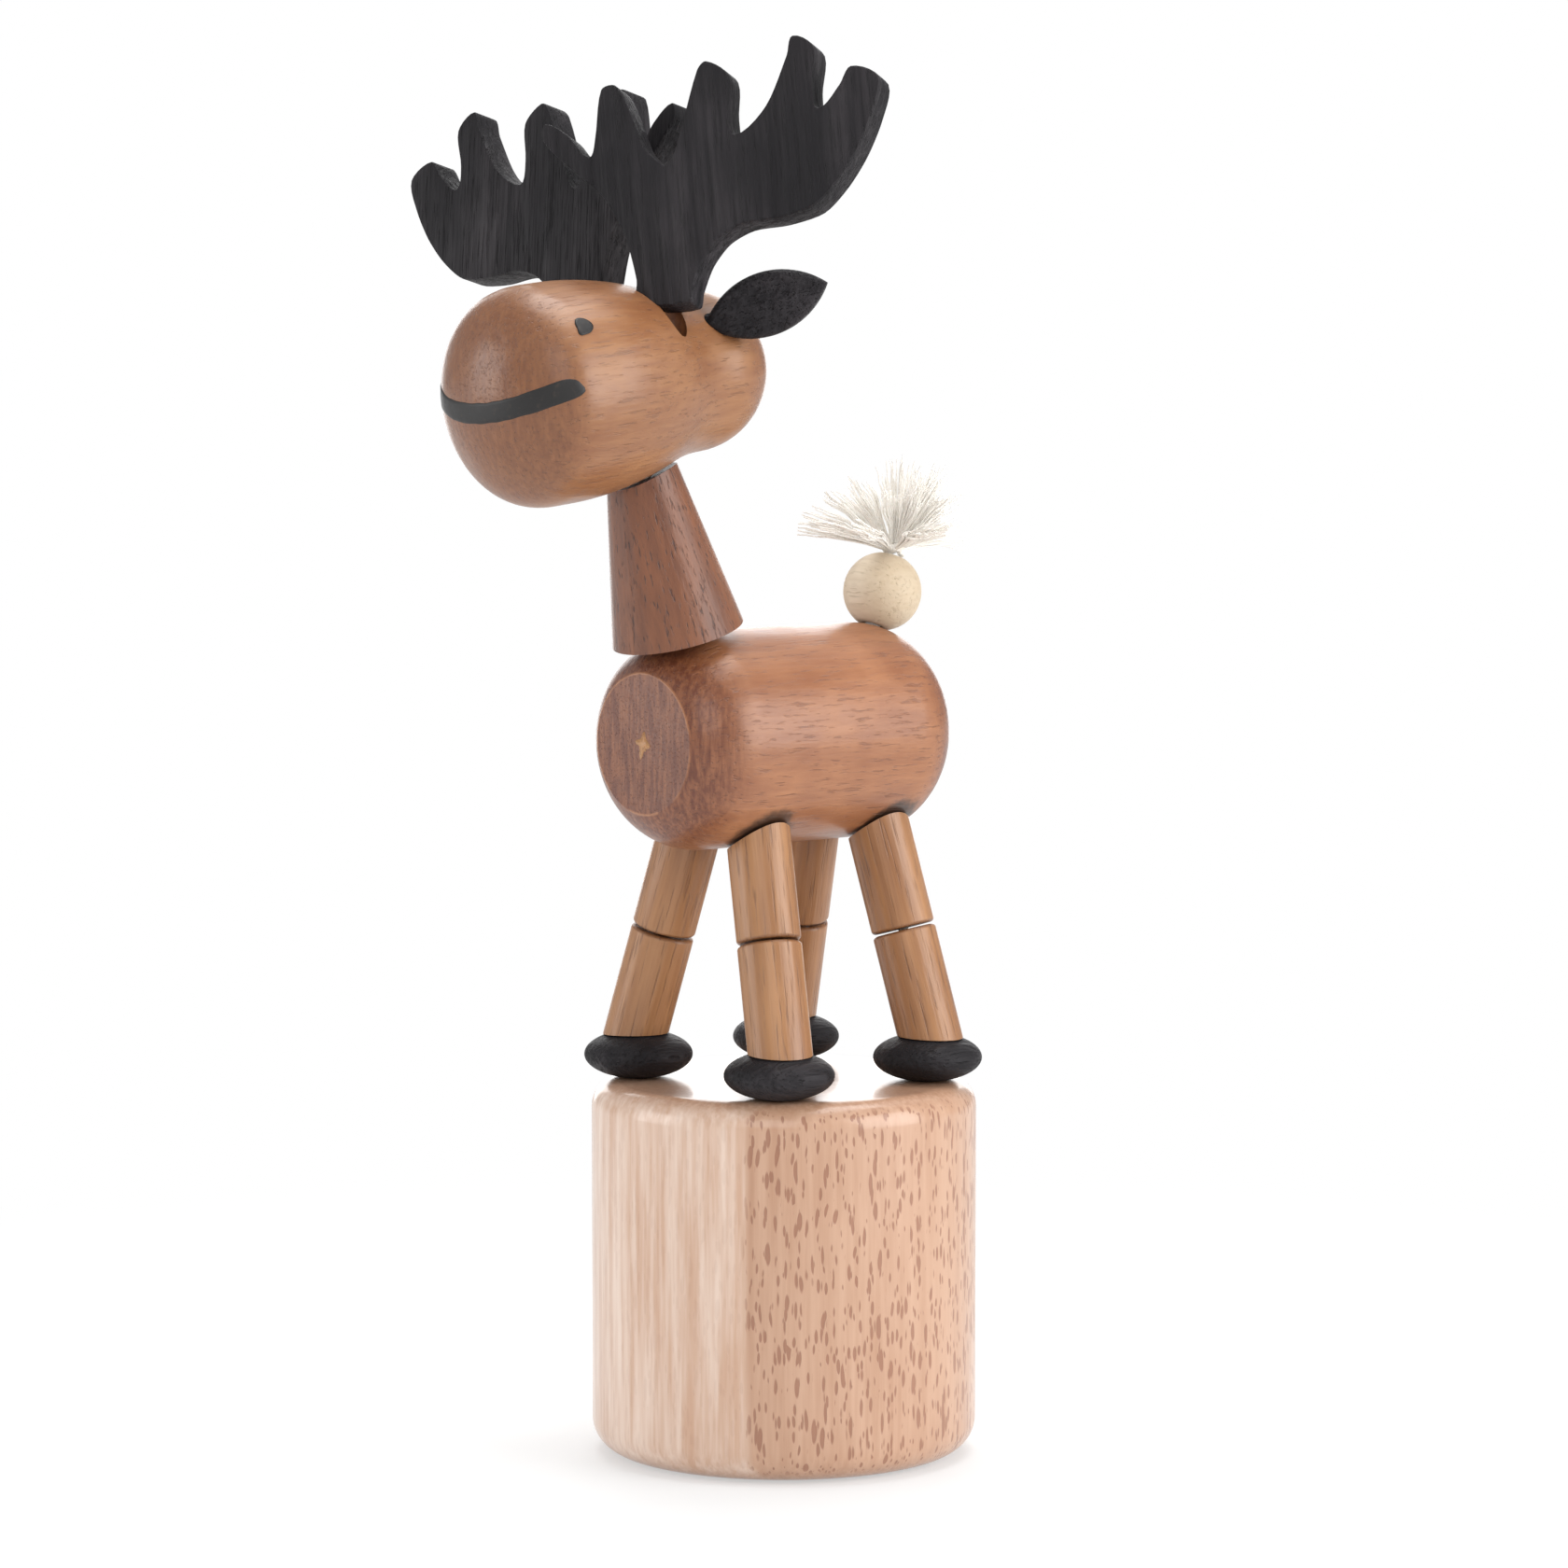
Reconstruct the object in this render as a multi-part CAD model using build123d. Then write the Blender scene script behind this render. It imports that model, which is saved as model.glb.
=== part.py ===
"""Wooden push puppet: a moose of turned beads on a beech base, all sizes in millimetres.

X runs to the figure's left, Y to its rear and Z up. The origin is the centre of the base's underside.
"""

import os
from math import cos, radians, sin, sqrt, tan

from build123d import *

# Base, a turned beech drum with a recess from below
BASE_RADIUS = 17.5
BASE_HEIGHT = 34.0
BASE_TOP_EDGE = 2.4
BASE_FOOT_EDGE = 3.0
RECESS_RADIUS = 12.6
RECESS_DEPTH = 26.0

# Push button and its return spring
BUTTON_CLEARANCE = 0.3
BUTTON_INSET = 1.2
BUTTON_THICKNESS = 5.0
BUTTON_EDGE = 0.9
BUTTON_BOSS_RADIUS = 3.4
BUTTON_BOSS_HEIGHT = 4.0
SPRING_MEAN_RADIUS = 4.7
SPRING_WIRE = 0.8
SPRING_TURNS = 7

# Cords and the bores that they run in
CORD_RADIUS = 0.5
CORD_PAIR_RADIUS = 0.7
CORD_CLEARANCE = 0.35
CORD_BEND = 3.0
CORD_END_SHARE = 0.82
CORD_JOIN = 2.2
PAIR_DEPTH = 3.5
PEG_LENGTH = 4.2
PEG_CLEARANCE = 0.02

# Legs: hoof, lower bead and upper bead, leaning inwards from foot to hip
FOOT_SIDE = 9.6
FOOT_FRONT = 9.2
FOOT_REAR = 8.9
HIP_SIDE = 4.8
HIP_FRONT = 7.3
HIP_REAR = 7.4
HOOF_RADIUS = 4.95
HOOF_HEIGHT = 4.2
HOOF_CROWN = 2.2
LEG_RADIUS = 2.9
LEG_EDGE = 0.35
ANKLE_GAP = 0.15
KNEE_GAP = 0.2
HIP_GAP = 0.32
LEG_SCRIBE = 3.2

# Body, a barrel turned about the fore and aft axis
BODY_LENGTH = 31.2
BODY_RADIUS = 9.8
BODY_CORNER = 7.0
BODY_END_FLAT = 6.3
BODY_SHIFT = -1.2
BODY_AXIS_HEIGHT = 65.4

# Neck, a cone that leans forward over the front of the body
NECK_LEAN = 16.0
NECK_FOOT_RADIUS = 5.95
NECK_TOP_RADIUS = 3.3
NECK_LENGTH = 14.6
NECK_EDGE = 0.5
NECK_SADDLE = 1.6
SEAT_GAP = 0.12

# Head, turned about its own axis, nose down a little and tipped to the figure's right
HEAD_PITCH = 6.5
HEAD_ROLL = 8.0
SNOUT_DEPTH = 6.8
SNOUT_RADIUS = 9.7
CHEEK_REACH = 3.6
CHEEK_RADIUS = 9.65
NECK_REACH = 11.4
WAIST_RADIUS = 8.3
HEAD_GAP = 0.3
NAPE_REACH = 17.4
NAPE_RADIUS = 7.2
HEAD_CORD_DEPTH = 9.0
PEG_RADIUS = 1.6

# Antlers, flat boards with five tines, each on a round tenon
ANTLER_SIDE = 5.8
ANTLER_REACH = 12.7
ANTLER_STAGGER = 0.4
ANTLER_BASE = 8.0
ANTLER_SWEEP = 9.5
ANTLER_TURN = 20.0
ANTLER_LEAN = 19.0
ANTLER_THICKNESS = 3.0
ANTLER_ROUND = 0.25
ANTLER_TENON_RADIUS = 1.3
ANTLER_TENON_LENGTH = 5.5
GLUE_GAP = 0.03

# Antler board from above its stem: distance outwards and height, tine by tine from the inner edge
ANTLER_OUTLINE = [
    (-2.4, -2.0), (-2.4, 0.0), (-3.2, 4.2), (-4.9, 8.0), (-7.7, 11.1),
    (-10.3, 14.4), (-9.9, 15.8), (-7.8, 14.3), (-6.0, 12.0),
    (-5.3, 13.6), (-4.4, 17.9), (-3.1, 18.1), (-2.1, 16.2), (-0.9, 12.2), (0.3, 10.5), (1.3, 9.9),
    (2.4, 11.8), (4.7, 17.9), (5.6, 18.6), (7.5, 17.0), (7.3, 13.6), (7.8, 11.4),
    (10.8, 13.4), (13.1, 17.6), (13.8, 19.3), (15.7, 17.8), (15.2, 14.4), (15.6, 12.3),
    (17.7, 14.0), (18.9, 15.5), (21.3, 14.1), (20.5, 11.1),
    (18.9, 8.1), (16.9, 5.6), (14.5, 3.7), (11.2, 3.2), (7.9, 3.3), (5.6, 2.5), (3.9, 0.8), (2.8, -1.4), (2.3, -2.8),
]

# Ears, carved leaves on a pin
EAR_REACH = 16.6
EAR_ANGLE = 31.0
EAR_LENGTH = 10.4
EAR_WIDTH = 5.6
EAR_THICKNESS = 2.0
EAR_SWEEP = 42.0
EAR_RISE = 9.0
EAR_PIN_RADIUS = 0.9
EAR_PIN_LENGTH = 3.0
EAR_EDGE = 0.6

# Tail: a plain ball, a knot and a frayed tuft of the cords' ends
TAIL_TILT = 21.5
TAIL_RADIUS = 3.6
TAIL_FLAT = 3.3
KNOT_RADIUS = 1.35
KNOT_HEIGHT = 2.2
TUFT_RADIUS = 5.4
TUFT_NECK = 1.0
TUFT_HEIGHT = 7.6

OUT = "parts"


def save(shape, name):
    """Write one sub-part under its name."""
    solids = shape.solids()
    whole = solids[0] if len(solids) == 1 else Compound(children=list(solids))
    export_step(whole, os.path.join(OUT, f"{name}.step"))


def unit(a, b):
    """Direction from one point to another."""
    return (Vector(*b) - Vector(*a)).normalized()


def rod(start, direction, length, radius, top_radius=None):
    """Round rod or cone from a point along a direction."""
    plane = Plane(origin=Vector(*start), z_dir=Vector(*direction))
    end = radius if top_radius is None else top_radius
    base = Align.CENTER, Align.CENTER, Align.MIN
    if abs(end - radius) < 1e-9:
        return plane * Cylinder(radius, length, align=base)
    return plane * Cone(radius, end, length, align=base)


def lathe(outline, axis=Axis.Z):
    """Solid of revolution from a closed line in the XZ plane."""
    return revolve(make_face(Plane.XZ * outline), axis)


# Base and push button

CORD_BORE = CORD_RADIUS + CORD_CLEARANCE
PAIR_BORE = CORD_PAIR_RADIUS + CORD_CLEARANCE
BUTTON_RADIUS = RECESS_RADIUS - BUTTON_CLEARANCE
BUTTON_TOP = BUTTON_INSET + BUTTON_THICKNESS
CEILING = RECESS_DEPTH
LEGS = {
    "front_left": (1, -1, FOOT_FRONT, HIP_FRONT),
    "front_right": (-1, -1, FOOT_FRONT, HIP_FRONT),
    "rear_left": (1, 1, FOOT_REAR, HIP_REAR),
    "rear_right": (-1, 1, FOOT_REAR, HIP_REAR),
}


def foot_centre(leg):
    """Plan position of a hoof."""
    side, end, foot, _ = LEGS[leg]
    return side * FOOT_SIDE, end * foot


def cord_anchor(leg):
    """Plan position of a cord where it is pegged in the button, under its hole in the base."""
    x, y = foot_centre(leg)
    reach = BUTTON_RADIUS - PEG_RADIUS - 1.2
    share = min(1.0, reach / sqrt(x * x + y * y))
    return x * share, y * share


def make_base():
    """Turned drum with a recess from below and four cord holes in its top."""
    drum = Cylinder(BASE_RADIUS, BASE_HEIGHT, align=(Align.CENTER, Align.CENTER, Align.MIN))
    drum = fillet(drum.edges().group_by(Axis.Z)[-1], BASE_TOP_EDGE)
    drum = fillet(drum.edges().group_by(Axis.Z)[0], BASE_FOOT_EDGE)
    drum -= rod((0, 0, 0), (0, 0, 1), RECESS_DEPTH, RECESS_RADIUS)
    for leg in LEGS:
        drum -= base_hole(leg)
    return drum


def base_hole(leg):
    """Slanting cord hole through the roof of the recess, out under the hoof."""
    low = (*cord_anchor(leg), CEILING - 1.0)
    high = (*foot_centre(leg), BASE_HEIGHT + 1.0)
    way = unit(low, high)
    length = (Vector(*high) - Vector(*low)).length
    return rod(Vector(*low) - way, way, length + 2.0, CORD_BORE)


def make_button():
    """Round push button with a boss that centres the spring and four pegged cord holes."""
    button = rod((0, 0, BUTTON_INSET), (0, 0, 1), BUTTON_THICKNESS, BUTTON_RADIUS)
    button = fillet(button.edges(), BUTTON_EDGE)
    button += rod((0, 0, BUTTON_TOP - 0.5), (0, 0, 1), BUTTON_BOSS_HEIGHT + 0.5, BUTTON_BOSS_RADIUS)
    for leg in LEGS:
        button -= rod((*cord_anchor(leg), 0), (0, 0, 1), BUTTON_TOP + 1, PEG_RADIUS)
    return button


def make_cord_pegs():
    """Four wooden pegs that hold the cords in the button."""
    pegs = []
    for leg in LEGS:
        foot = (*cord_anchor(leg), BUTTON_INSET)
        peg = rod(foot, (0, 0, 1), PEG_LENGTH, PEG_RADIUS - PEG_CLEARANCE)
        pegs.append(peg - rod((*cord_anchor(leg), 0), (0, 0, 1), BUTTON_TOP + 1, CORD_RADIUS + PEG_CLEARANCE))
    return Compound(children=pegs)


def make_spring():
    """Compression spring between the button and the roof of the recess."""
    low = BUTTON_TOP + SPRING_WIRE / 2 + 0.02
    height = CEILING - SPRING_WIRE / 2 - 0.02 - low
    path = Helix(height / SPRING_TURNS, height, SPRING_MEAN_RADIUS)
    profile = Plane(origin=path @ 0, z_dir=path % 0) * Circle(SPRING_WIRE / 2)
    return Pos(0, 0, low) * sweep(profile, path=path, is_frenet=True)


# Legs

HOOF_TOP = BASE_HEIGHT + HOOF_HEIGHT


def belly_height(side):
    """Height of the belly above the ground at a distance from the middle."""
    return BODY_AXIS_HEIGHT - sqrt(BODY_RADIUS**2 - side**2)


def leg_points(leg):
    """Centre of the lower bead's foot and of the upper bead's top."""
    side, end, foot, hip = LEGS[leg]
    inner = HIP_SIDE - LEG_RADIUS
    rise = belly_height(inner) - HIP_GAP - HOOF_TOP
    lean = sqrt((FOOT_SIDE - HIP_SIDE) ** 2 + (foot - hip) ** 2) / rise
    rim_drop = LEG_RADIUS * lean
    oval = HOOF_CROWN * sqrt(1 - (LEG_RADIUS / HOOF_RADIUS) ** 2) - HOOF_HEIGHT / 2
    ankle_height = HOOF_TOP + oval + rim_drop + ANKLE_GAP
    hip_height = belly_height(inner) + LEG_RADIUS * lean - HIP_GAP
    return (
        Vector(side * FOOT_SIDE, end * foot, ankle_height),
        Vector(side * HIP_SIDE, end * hip, hip_height),
    )


def turned_hoof(grow=0.0):
    """Hoof as turned, an oval in section with a small flat above and below, grown outwards if asked."""
    oval = Rectangle(HOOF_RADIUS + grow, HOOF_HEIGHT + 2 * grow, align=(Align.MIN, Align.CENTER))
    oval = oval & Ellipse(HOOF_RADIUS + grow, HOOF_CROWN + grow)
    return revolve(Plane.XZ * oval, Axis.Z)


def make_hoof(leg):
    """Flattened bead with a cord bore."""
    half = HOOF_HEIGHT / 2
    hoof = turned_hoof()
    hoof -= rod((0, 0, -half - 1), (0, 0, 1), HOOF_HEIGHT + 2, CORD_BORE)
    x, y = foot_centre(leg)
    return Pos(x, y, BASE_HEIGHT + half) * hoof


def make_bead(knee, way, length):
    """Leg bead from the knee on, a short rod with a cord bore and its edge broken at the knee."""
    bead = rod(knee, way, length, LEG_RADIUS)
    rims = bead.edges().filter_by(GeomType.CIRCLE)
    bead = fillet(rims.sort_by_distance(knee)[0], LEG_EDGE)
    return bead - rod(knee - way, way, length + 2, CORD_BORE)


def leg_beads(leg):
    """Lower bead hollowed to sit on its hoof, and upper bead hollowed to the belly."""
    ankle, hip = leg_points(leg)
    way = (hip - ankle).normalized()
    length = ((hip - ankle).length - KNEE_GAP) / 2
    x, y = foot_centre(leg)
    lower = make_bead(ankle + way * length, -way, length + LEG_SCRIBE)
    lower -= Pos(x, y, BASE_HEIGHT + HOOF_HEIGHT / 2) * turned_hoof(ANKLE_GAP)
    upper = make_bead(ankle + way * (length + KNEE_GAP), way, length + LEG_SCRIBE)
    upper -= turned_body(HIP_GAP)
    return lower, upper


# Body

BODY_HALF = BODY_LENGTH / 2
ARC_OUT = BODY_RADIUS - BODY_CORNER
ARC_RUN = sqrt(BODY_CORNER**2 - (BODY_END_FLAT - ARC_OUT) ** 2)
ARC_REACH = BODY_HALF - ARC_RUN


def body_point(end, tilt, lift=0.0):
    """Point on the body's upper profile whose normal tilts from the vertical towards that end."""
    reach = ARC_REACH + (BODY_CORNER + lift) * sin(radians(tilt))
    rise = ARC_OUT + (BODY_CORNER + lift) * cos(radians(tilt))
    return Vector(0, BODY_SHIFT + end * reach, BODY_AXIS_HEIGHT + rise)


def tilt_way(end, tilt):
    """Upward direction that leans towards the front, -1, or the rear, 1."""
    return Vector(0, end * sin(radians(tilt)), cos(radians(tilt)))


NECK_SEAT = body_point(-1, NECK_LEAN)
NECK_WAY = tilt_way(-1, NECK_LEAN)
TAIL_SEAT = body_point(1, TAIL_TILT)
TAIL_WAY = tilt_way(1, TAIL_TILT)


def turned_body(grow=0.0):
    """Barrel as turned, with flat ends, grown outwards if asked."""
    corner = BODY_CORNER + grow
    half = ARC_REACH + ARC_RUN * corner / BODY_CORNER
    flat = ARC_OUT + (BODY_END_FLAT - ARC_OUT) * corner / BODY_CORNER
    radius = BODY_RADIUS + grow
    middle = ARC_OUT + corner * sin(radians(60)), ARC_REACH + corner * cos(radians(60))
    rear = ThreePointArc((radius, ARC_REACH), middle, (flat, half))
    front = ThreePointArc((flat, -half), (middle[0], -middle[1]), (radius, -ARC_REACH))
    outline = Curve() + [
        Line((0, -half), (flat, -half)),
        front,
        Line((radius, -ARC_REACH), (radius, ARC_REACH)),
        rear,
        Line((flat, half), (0, half)),
        Line((0, half), (0, -half)),
    ]
    return Pos(0, BODY_SHIFT, BODY_AXIS_HEIGHT) * (Rot(-90, 0, 0) * lathe(outline))


def make_body():
    """Barrel with cord bores from the hips and under the neck and tail."""
    barrel = turned_body()
    for leg in LEGS:
        _, hip = leg_points(leg)
        seat = NECK_SEAT if LEGS[leg][1] < 0 else TAIL_SEAT
        way = unit(hip, seat)
        barrel -= rod(hip - way * 2, way, (seat - hip).length + 3, CORD_BORE)
    barrel -= rod(NECK_SEAT - NECK_WAY * PAIR_DEPTH, NECK_WAY, PAIR_DEPTH + 2, PAIR_BORE)
    barrel -= rod(TAIL_SEAT - TAIL_WAY * PAIR_DEPTH, TAIL_WAY, PAIR_DEPTH + 2, PAIR_BORE)
    return barrel


# Neck and head

NECK_FOOT = NECK_SEAT + NECK_WAY * SEAT_GAP
NECK_TOP = NECK_FOOT + NECK_WAY * NECK_LENGTH


def make_neck():
    """Cone with a cord bore and its top hollowed to the head."""
    length = NECK_LENGTH + NECK_SADDLE
    tip = NECK_FOOT_RADIUS - (NECK_FOOT_RADIUS - NECK_TOP_RADIUS) * length / NECK_LENGTH
    cone = rod(NECK_FOOT, NECK_WAY, length, NECK_FOOT_RADIUS, tip)
    cone = fillet(cone.edges().filter_by(GeomType.CIRCLE).sort_by_distance(NECK_FOOT)[-1], NECK_EDGE)
    cone -= head_place() * turned_head(HEAD_GAP)
    return cone - rod(NECK_FOOT - NECK_WAY, NECK_WAY, length + 2, PAIR_BORE)


def head_outline(grow=0.0):
    """Half outline of the head around the snout's centre, nose to the left, grown outwards if asked."""
    nape = NAPE_RADIUS + grow
    nape_end = NAPE_REACH + nape
    bend = sin(radians(45))
    nose = Spline(
        (-SNOUT_DEPTH - grow, 0),
        (-(SNOUT_DEPTH + grow) * bend, (SNOUT_RADIUS + grow) * bend),
        (0, SNOUT_RADIUS + grow),
        tangents=[(0, 1), (1, 0)],
    )
    side = Spline(
        (0, SNOUT_RADIUS + grow),
        (CHEEK_REACH, CHEEK_RADIUS + grow),
        (NECK_REACH, WAIST_RADIUS + grow),
        (NAPE_REACH, nape),
        tangents=[(1, 0), (1, 0)],
    )
    back = ThreePointArc((NAPE_REACH, nape), (NAPE_REACH + nape * bend, nape * bend), (nape_end, 0))
    return Curve() + [nose, side, back, Line((nape_end, 0), (-SNOUT_DEPTH - grow, 0))]


def turned_head(grow=0.0):
    """Head as turned, along +Y from nose to nape, around the snout's centre."""
    return Rot(0, 0, 90) * revolve(make_face(head_outline(grow)), Axis.X)


def head_place():
    """Place of the head's own frame: +Y to its nape, +Z to its crown, resting on the neck's top."""
    turn = Rot(HEAD_PITCH, 0, 0)
    rest = turn * Pos(0, -NECK_REACH, WAIST_RADIUS + HEAD_GAP)
    return Pos(*NECK_TOP) * rest * Rot(0, -HEAD_ROLL, 0)


def head_bore(extra=0.0):
    """Cord bore that runs on from the neck into the head."""
    start = NECK_TOP - NECK_WAY * NECK_TOP_RADIUS
    return rod(start, NECK_WAY, NECK_TOP_RADIUS + HEAD_CORD_DEPTH + extra, PAIR_BORE)


def make_head():
    """Turned head with its cord bore, antler sockets and ear sockets."""
    head = head_place() * turned_head()
    head -= head_bore(PEG_LENGTH)
    for side in (1, -1):
        head -= antler_tenon(side, GLUE_GAP)
        head -= ear_pin(side, GLUE_GAP)
    return head


def antler_plane(side):
    """Frame of an antler board in the head's frame: x outwards, y up the board, z through it."""
    sweep_back = radians(ANTLER_SWEEP + side * ANTLER_TURN)
    lean = radians(ANTLER_LEAN)
    out = Vector(side * cos(sweep_back), sin(sweep_back), 0)
    up = Vector(0, sin(lean), cos(lean))
    origin = (side * ANTLER_SIDE, ANTLER_REACH - side * ANTLER_STAGGER, ANTLER_BASE)
    return Plane(origin=origin, x_dir=out, z_dir=out.cross(up))


def antler_tenon(side, grow=0.0):
    """Round tenon under an antler, or its socket when grown."""
    peg = Cylinder(ANTLER_TENON_RADIUS + grow, ANTLER_TENON_LENGTH, align=(Align.CENTER,) * 2 + (Align.MAX,))
    return head_place() * (antler_plane(side) * (Rot(-90, 0, 0) * peg))


def make_antler(side):
    """Flat board with five tines, scribed to the head, on a round tenon."""
    board = make_face(Polyline(*ANTLER_OUTLINE, close=True))
    board = fillet(board.vertices(), ANTLER_ROUND)
    board = Pos(0, 0, -ANTLER_THICKNESS / 2) * extrude(board, ANTLER_THICKNESS)
    board = antler_plane(side) * board
    board -= turned_head(GLUE_GAP)
    return head_place() * board + antler_tenon(side)


def ear_plane(side):
    """Frame of an ear: x along the leaf, z through it."""
    angle = radians(EAR_ANGLE)
    sweep_back = radians(EAR_SWEEP)
    rise = radians(EAR_RISE)
    seat = Vector(side * NAPE_RADIUS * cos(angle), EAR_REACH, NAPE_RADIUS * sin(angle))
    along = Vector(side * cos(sweep_back) * cos(rise), sin(sweep_back) * cos(rise), sin(rise))
    across = Vector(side * sin(sweep_back), -cos(sweep_back), 0)
    return Plane(origin=seat, x_dir=along, z_dir=across)


def ear_pin(side, grow=0.0):
    """Pin that holds an ear, or its socket when grown."""
    plane = ear_plane(side)
    start = plane.origin + plane.x_dir * 1.5
    return head_place() * rod(start, -plane.x_dir, EAR_PIN_LENGTH + 1.5, EAR_PIN_RADIUS + grow)


def make_ear(side):
    """Carved leaf on a pin."""
    half = EAR_WIDTH / 2
    leaf = Curve() + [
        ThreePointArc((-1, 0), (EAR_LENGTH * 0.46, half), (EAR_LENGTH, 0)),
        ThreePointArc((EAR_LENGTH, 0), (EAR_LENGTH * 0.46, -half), (-1, 0)),
    ]
    blade = extrude(make_face(leaf), EAR_THICKNESS / 2, both=True)
    blade = fillet(blade.faces().sort_by(Axis.Z)[-1].edges(), EAR_EDGE)
    blade = fillet(blade.faces().sort_by(Axis.Z)[0].edges(), EAR_EDGE)
    blade = ear_plane(side) * blade
    blade -= turned_head(GLUE_GAP)
    return head_place() * blade + ear_pin(side)


# Tail

TAIL_FOOT = TAIL_SEAT + TAIL_WAY * SEAT_GAP
KNOT_FOOT = TAIL_FOOT + TAIL_WAY * (2 * TAIL_FLAT + SEAT_GAP)
TUFT_FOOT = KNOT_FOOT + TAIL_WAY * (KNOT_HEIGHT + GLUE_GAP)


def make_tail_bead():
    """Plain ball with small flats at its bore."""
    ball = Sphere(TAIL_RADIUS) & Cylinder(TAIL_RADIUS, 2 * TAIL_FLAT)
    ball -= Cylinder(PAIR_BORE, 4 * TAIL_RADIUS)
    centre = TAIL_FOOT + TAIL_WAY * TAIL_FLAT
    return Plane(origin=centre, z_dir=TAIL_WAY) * ball


def make_tail_knot():
    """Knot that stops the rear cords above the ball."""
    knot = rod(KNOT_FOOT, TAIL_WAY, KNOT_HEIGHT, KNOT_RADIUS)
    return fillet(knot.edges(), KNOT_HEIGHT * 0.3)


def make_tail_tuft():
    """Frayed ends of the cords, as one fan shape."""
    outline = Curve() + [
        Line((0, 0), (TUFT_NECK, 0)),
        Spline((TUFT_NECK, 0), (TUFT_RADIUS, TUFT_HEIGHT * 0.62), tangents=[(0.6, 1), (0.5, 1)]),
        Spline((TUFT_RADIUS, TUFT_HEIGHT * 0.62), (0, TUFT_HEIGHT), tangents=[(-0.3, 1), (-1, 0)]),
        Line((0, TUFT_HEIGHT), (0, 0)),
    ]
    tuft = revolve(make_face(Plane.XZ * outline), Axis.Z)
    return Plane(origin=TUFT_FOOT, z_dir=TAIL_WAY) * tuft


# Cords


def make_leg_cord(leg):
    """Cord from its peg in the button through the base, hoof and leg beads into the body."""
    ankle, hip = leg_points(leg)
    seat = NECK_SEAT if LEGS[leg][1] < 0 else TAIL_SEAT
    points = [
        Vector(*cord_anchor(leg), BUTTON_INSET + GLUE_GAP),
        Vector(*cord_anchor(leg), CEILING - 1.0),
        Vector(*foot_centre(leg), BASE_HEIGHT),
        ankle,
        hip,
        hip + (seat - hip) * CORD_END_SHARE,
    ]
    path = FilletPolyline(*points, radius=CORD_BEND)
    return sweep(Plane(origin=path @ 0, z_dir=path % 0) * Circle(CORD_RADIUS), path=path)


def make_neck_cord():
    """Front pair of cords, twisted together, from the body through the neck into the head."""
    length = NECK_LENGTH + CORD_JOIN + HEAD_CORD_DEPTH
    return rod(NECK_SEAT - NECK_WAY * CORD_JOIN, NECK_WAY, length, CORD_PAIR_RADIUS)


def make_head_peg():
    """Peg that wedges the cords in the head."""
    start = NECK_TOP + NECK_WAY * (HEAD_CORD_DEPTH + GLUE_GAP)
    return rod(start, NECK_WAY, PEG_LENGTH - 2 * GLUE_GAP, PAIR_BORE - PEG_CLEARANCE)


def make_tail_cord():
    """Rear pair of cords from the body through the ball to the knot."""
    length = CORD_JOIN + (KNOT_FOOT - TAIL_SEAT).length - GLUE_GAP
    return rod(TAIL_SEAT - TAIL_WAY * CORD_JOIN, TAIL_WAY, length, CORD_PAIR_RADIUS)


def main():
    """Write every sub-part."""
    os.makedirs("parts", exist_ok=True)
    save(make_base(), "base_housing")
    save(make_button(), "push_button")
    save(make_cord_pegs(), "cord_pegs")
    save(make_spring(), "return_spring")
    for leg in LEGS:
        lower, upper = leg_beads(leg)
        save(make_hoof(leg), f"hoof_{leg}")
        save(lower, f"lower_leg_{leg}")
        save(upper, f"upper_leg_{leg}")
        save(make_leg_cord(leg), f"leg_cord_{leg}")
    save(make_body(), "body_barrel")
    save(make_neck(), "neck")
    save(make_head(), "head")
    for side, name in ((1, "left"), (-1, "right")):
        save(make_antler(side), f"antler_{name}")
        save(make_ear(side), f"ear_{name}")
    save(make_tail_bead(), "tail_bead")
    save(make_tail_knot(), "tail_knot")
    save(make_tail_tuft(), "tail_tuft")
    save(make_tail_cord(), "tail_cord")
    save(make_neck_cord(), "neck_cord")
    save(make_head_peg(), "head_peg")


main()
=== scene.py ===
"""Looks of a wooden push puppet: a moose of strung beads on a sprung beech base.

Metres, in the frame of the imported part: +X to the figure's left, +Y to its rear, +Z up.
"""

import logging
import math
from dataclasses import dataclass, field
from enum import Enum

import bmesh
import bpy
from mathutils import Matrix, Vector
from mathutils.bvhtree import BVHTree
from mathutils.noise import noise


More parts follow.
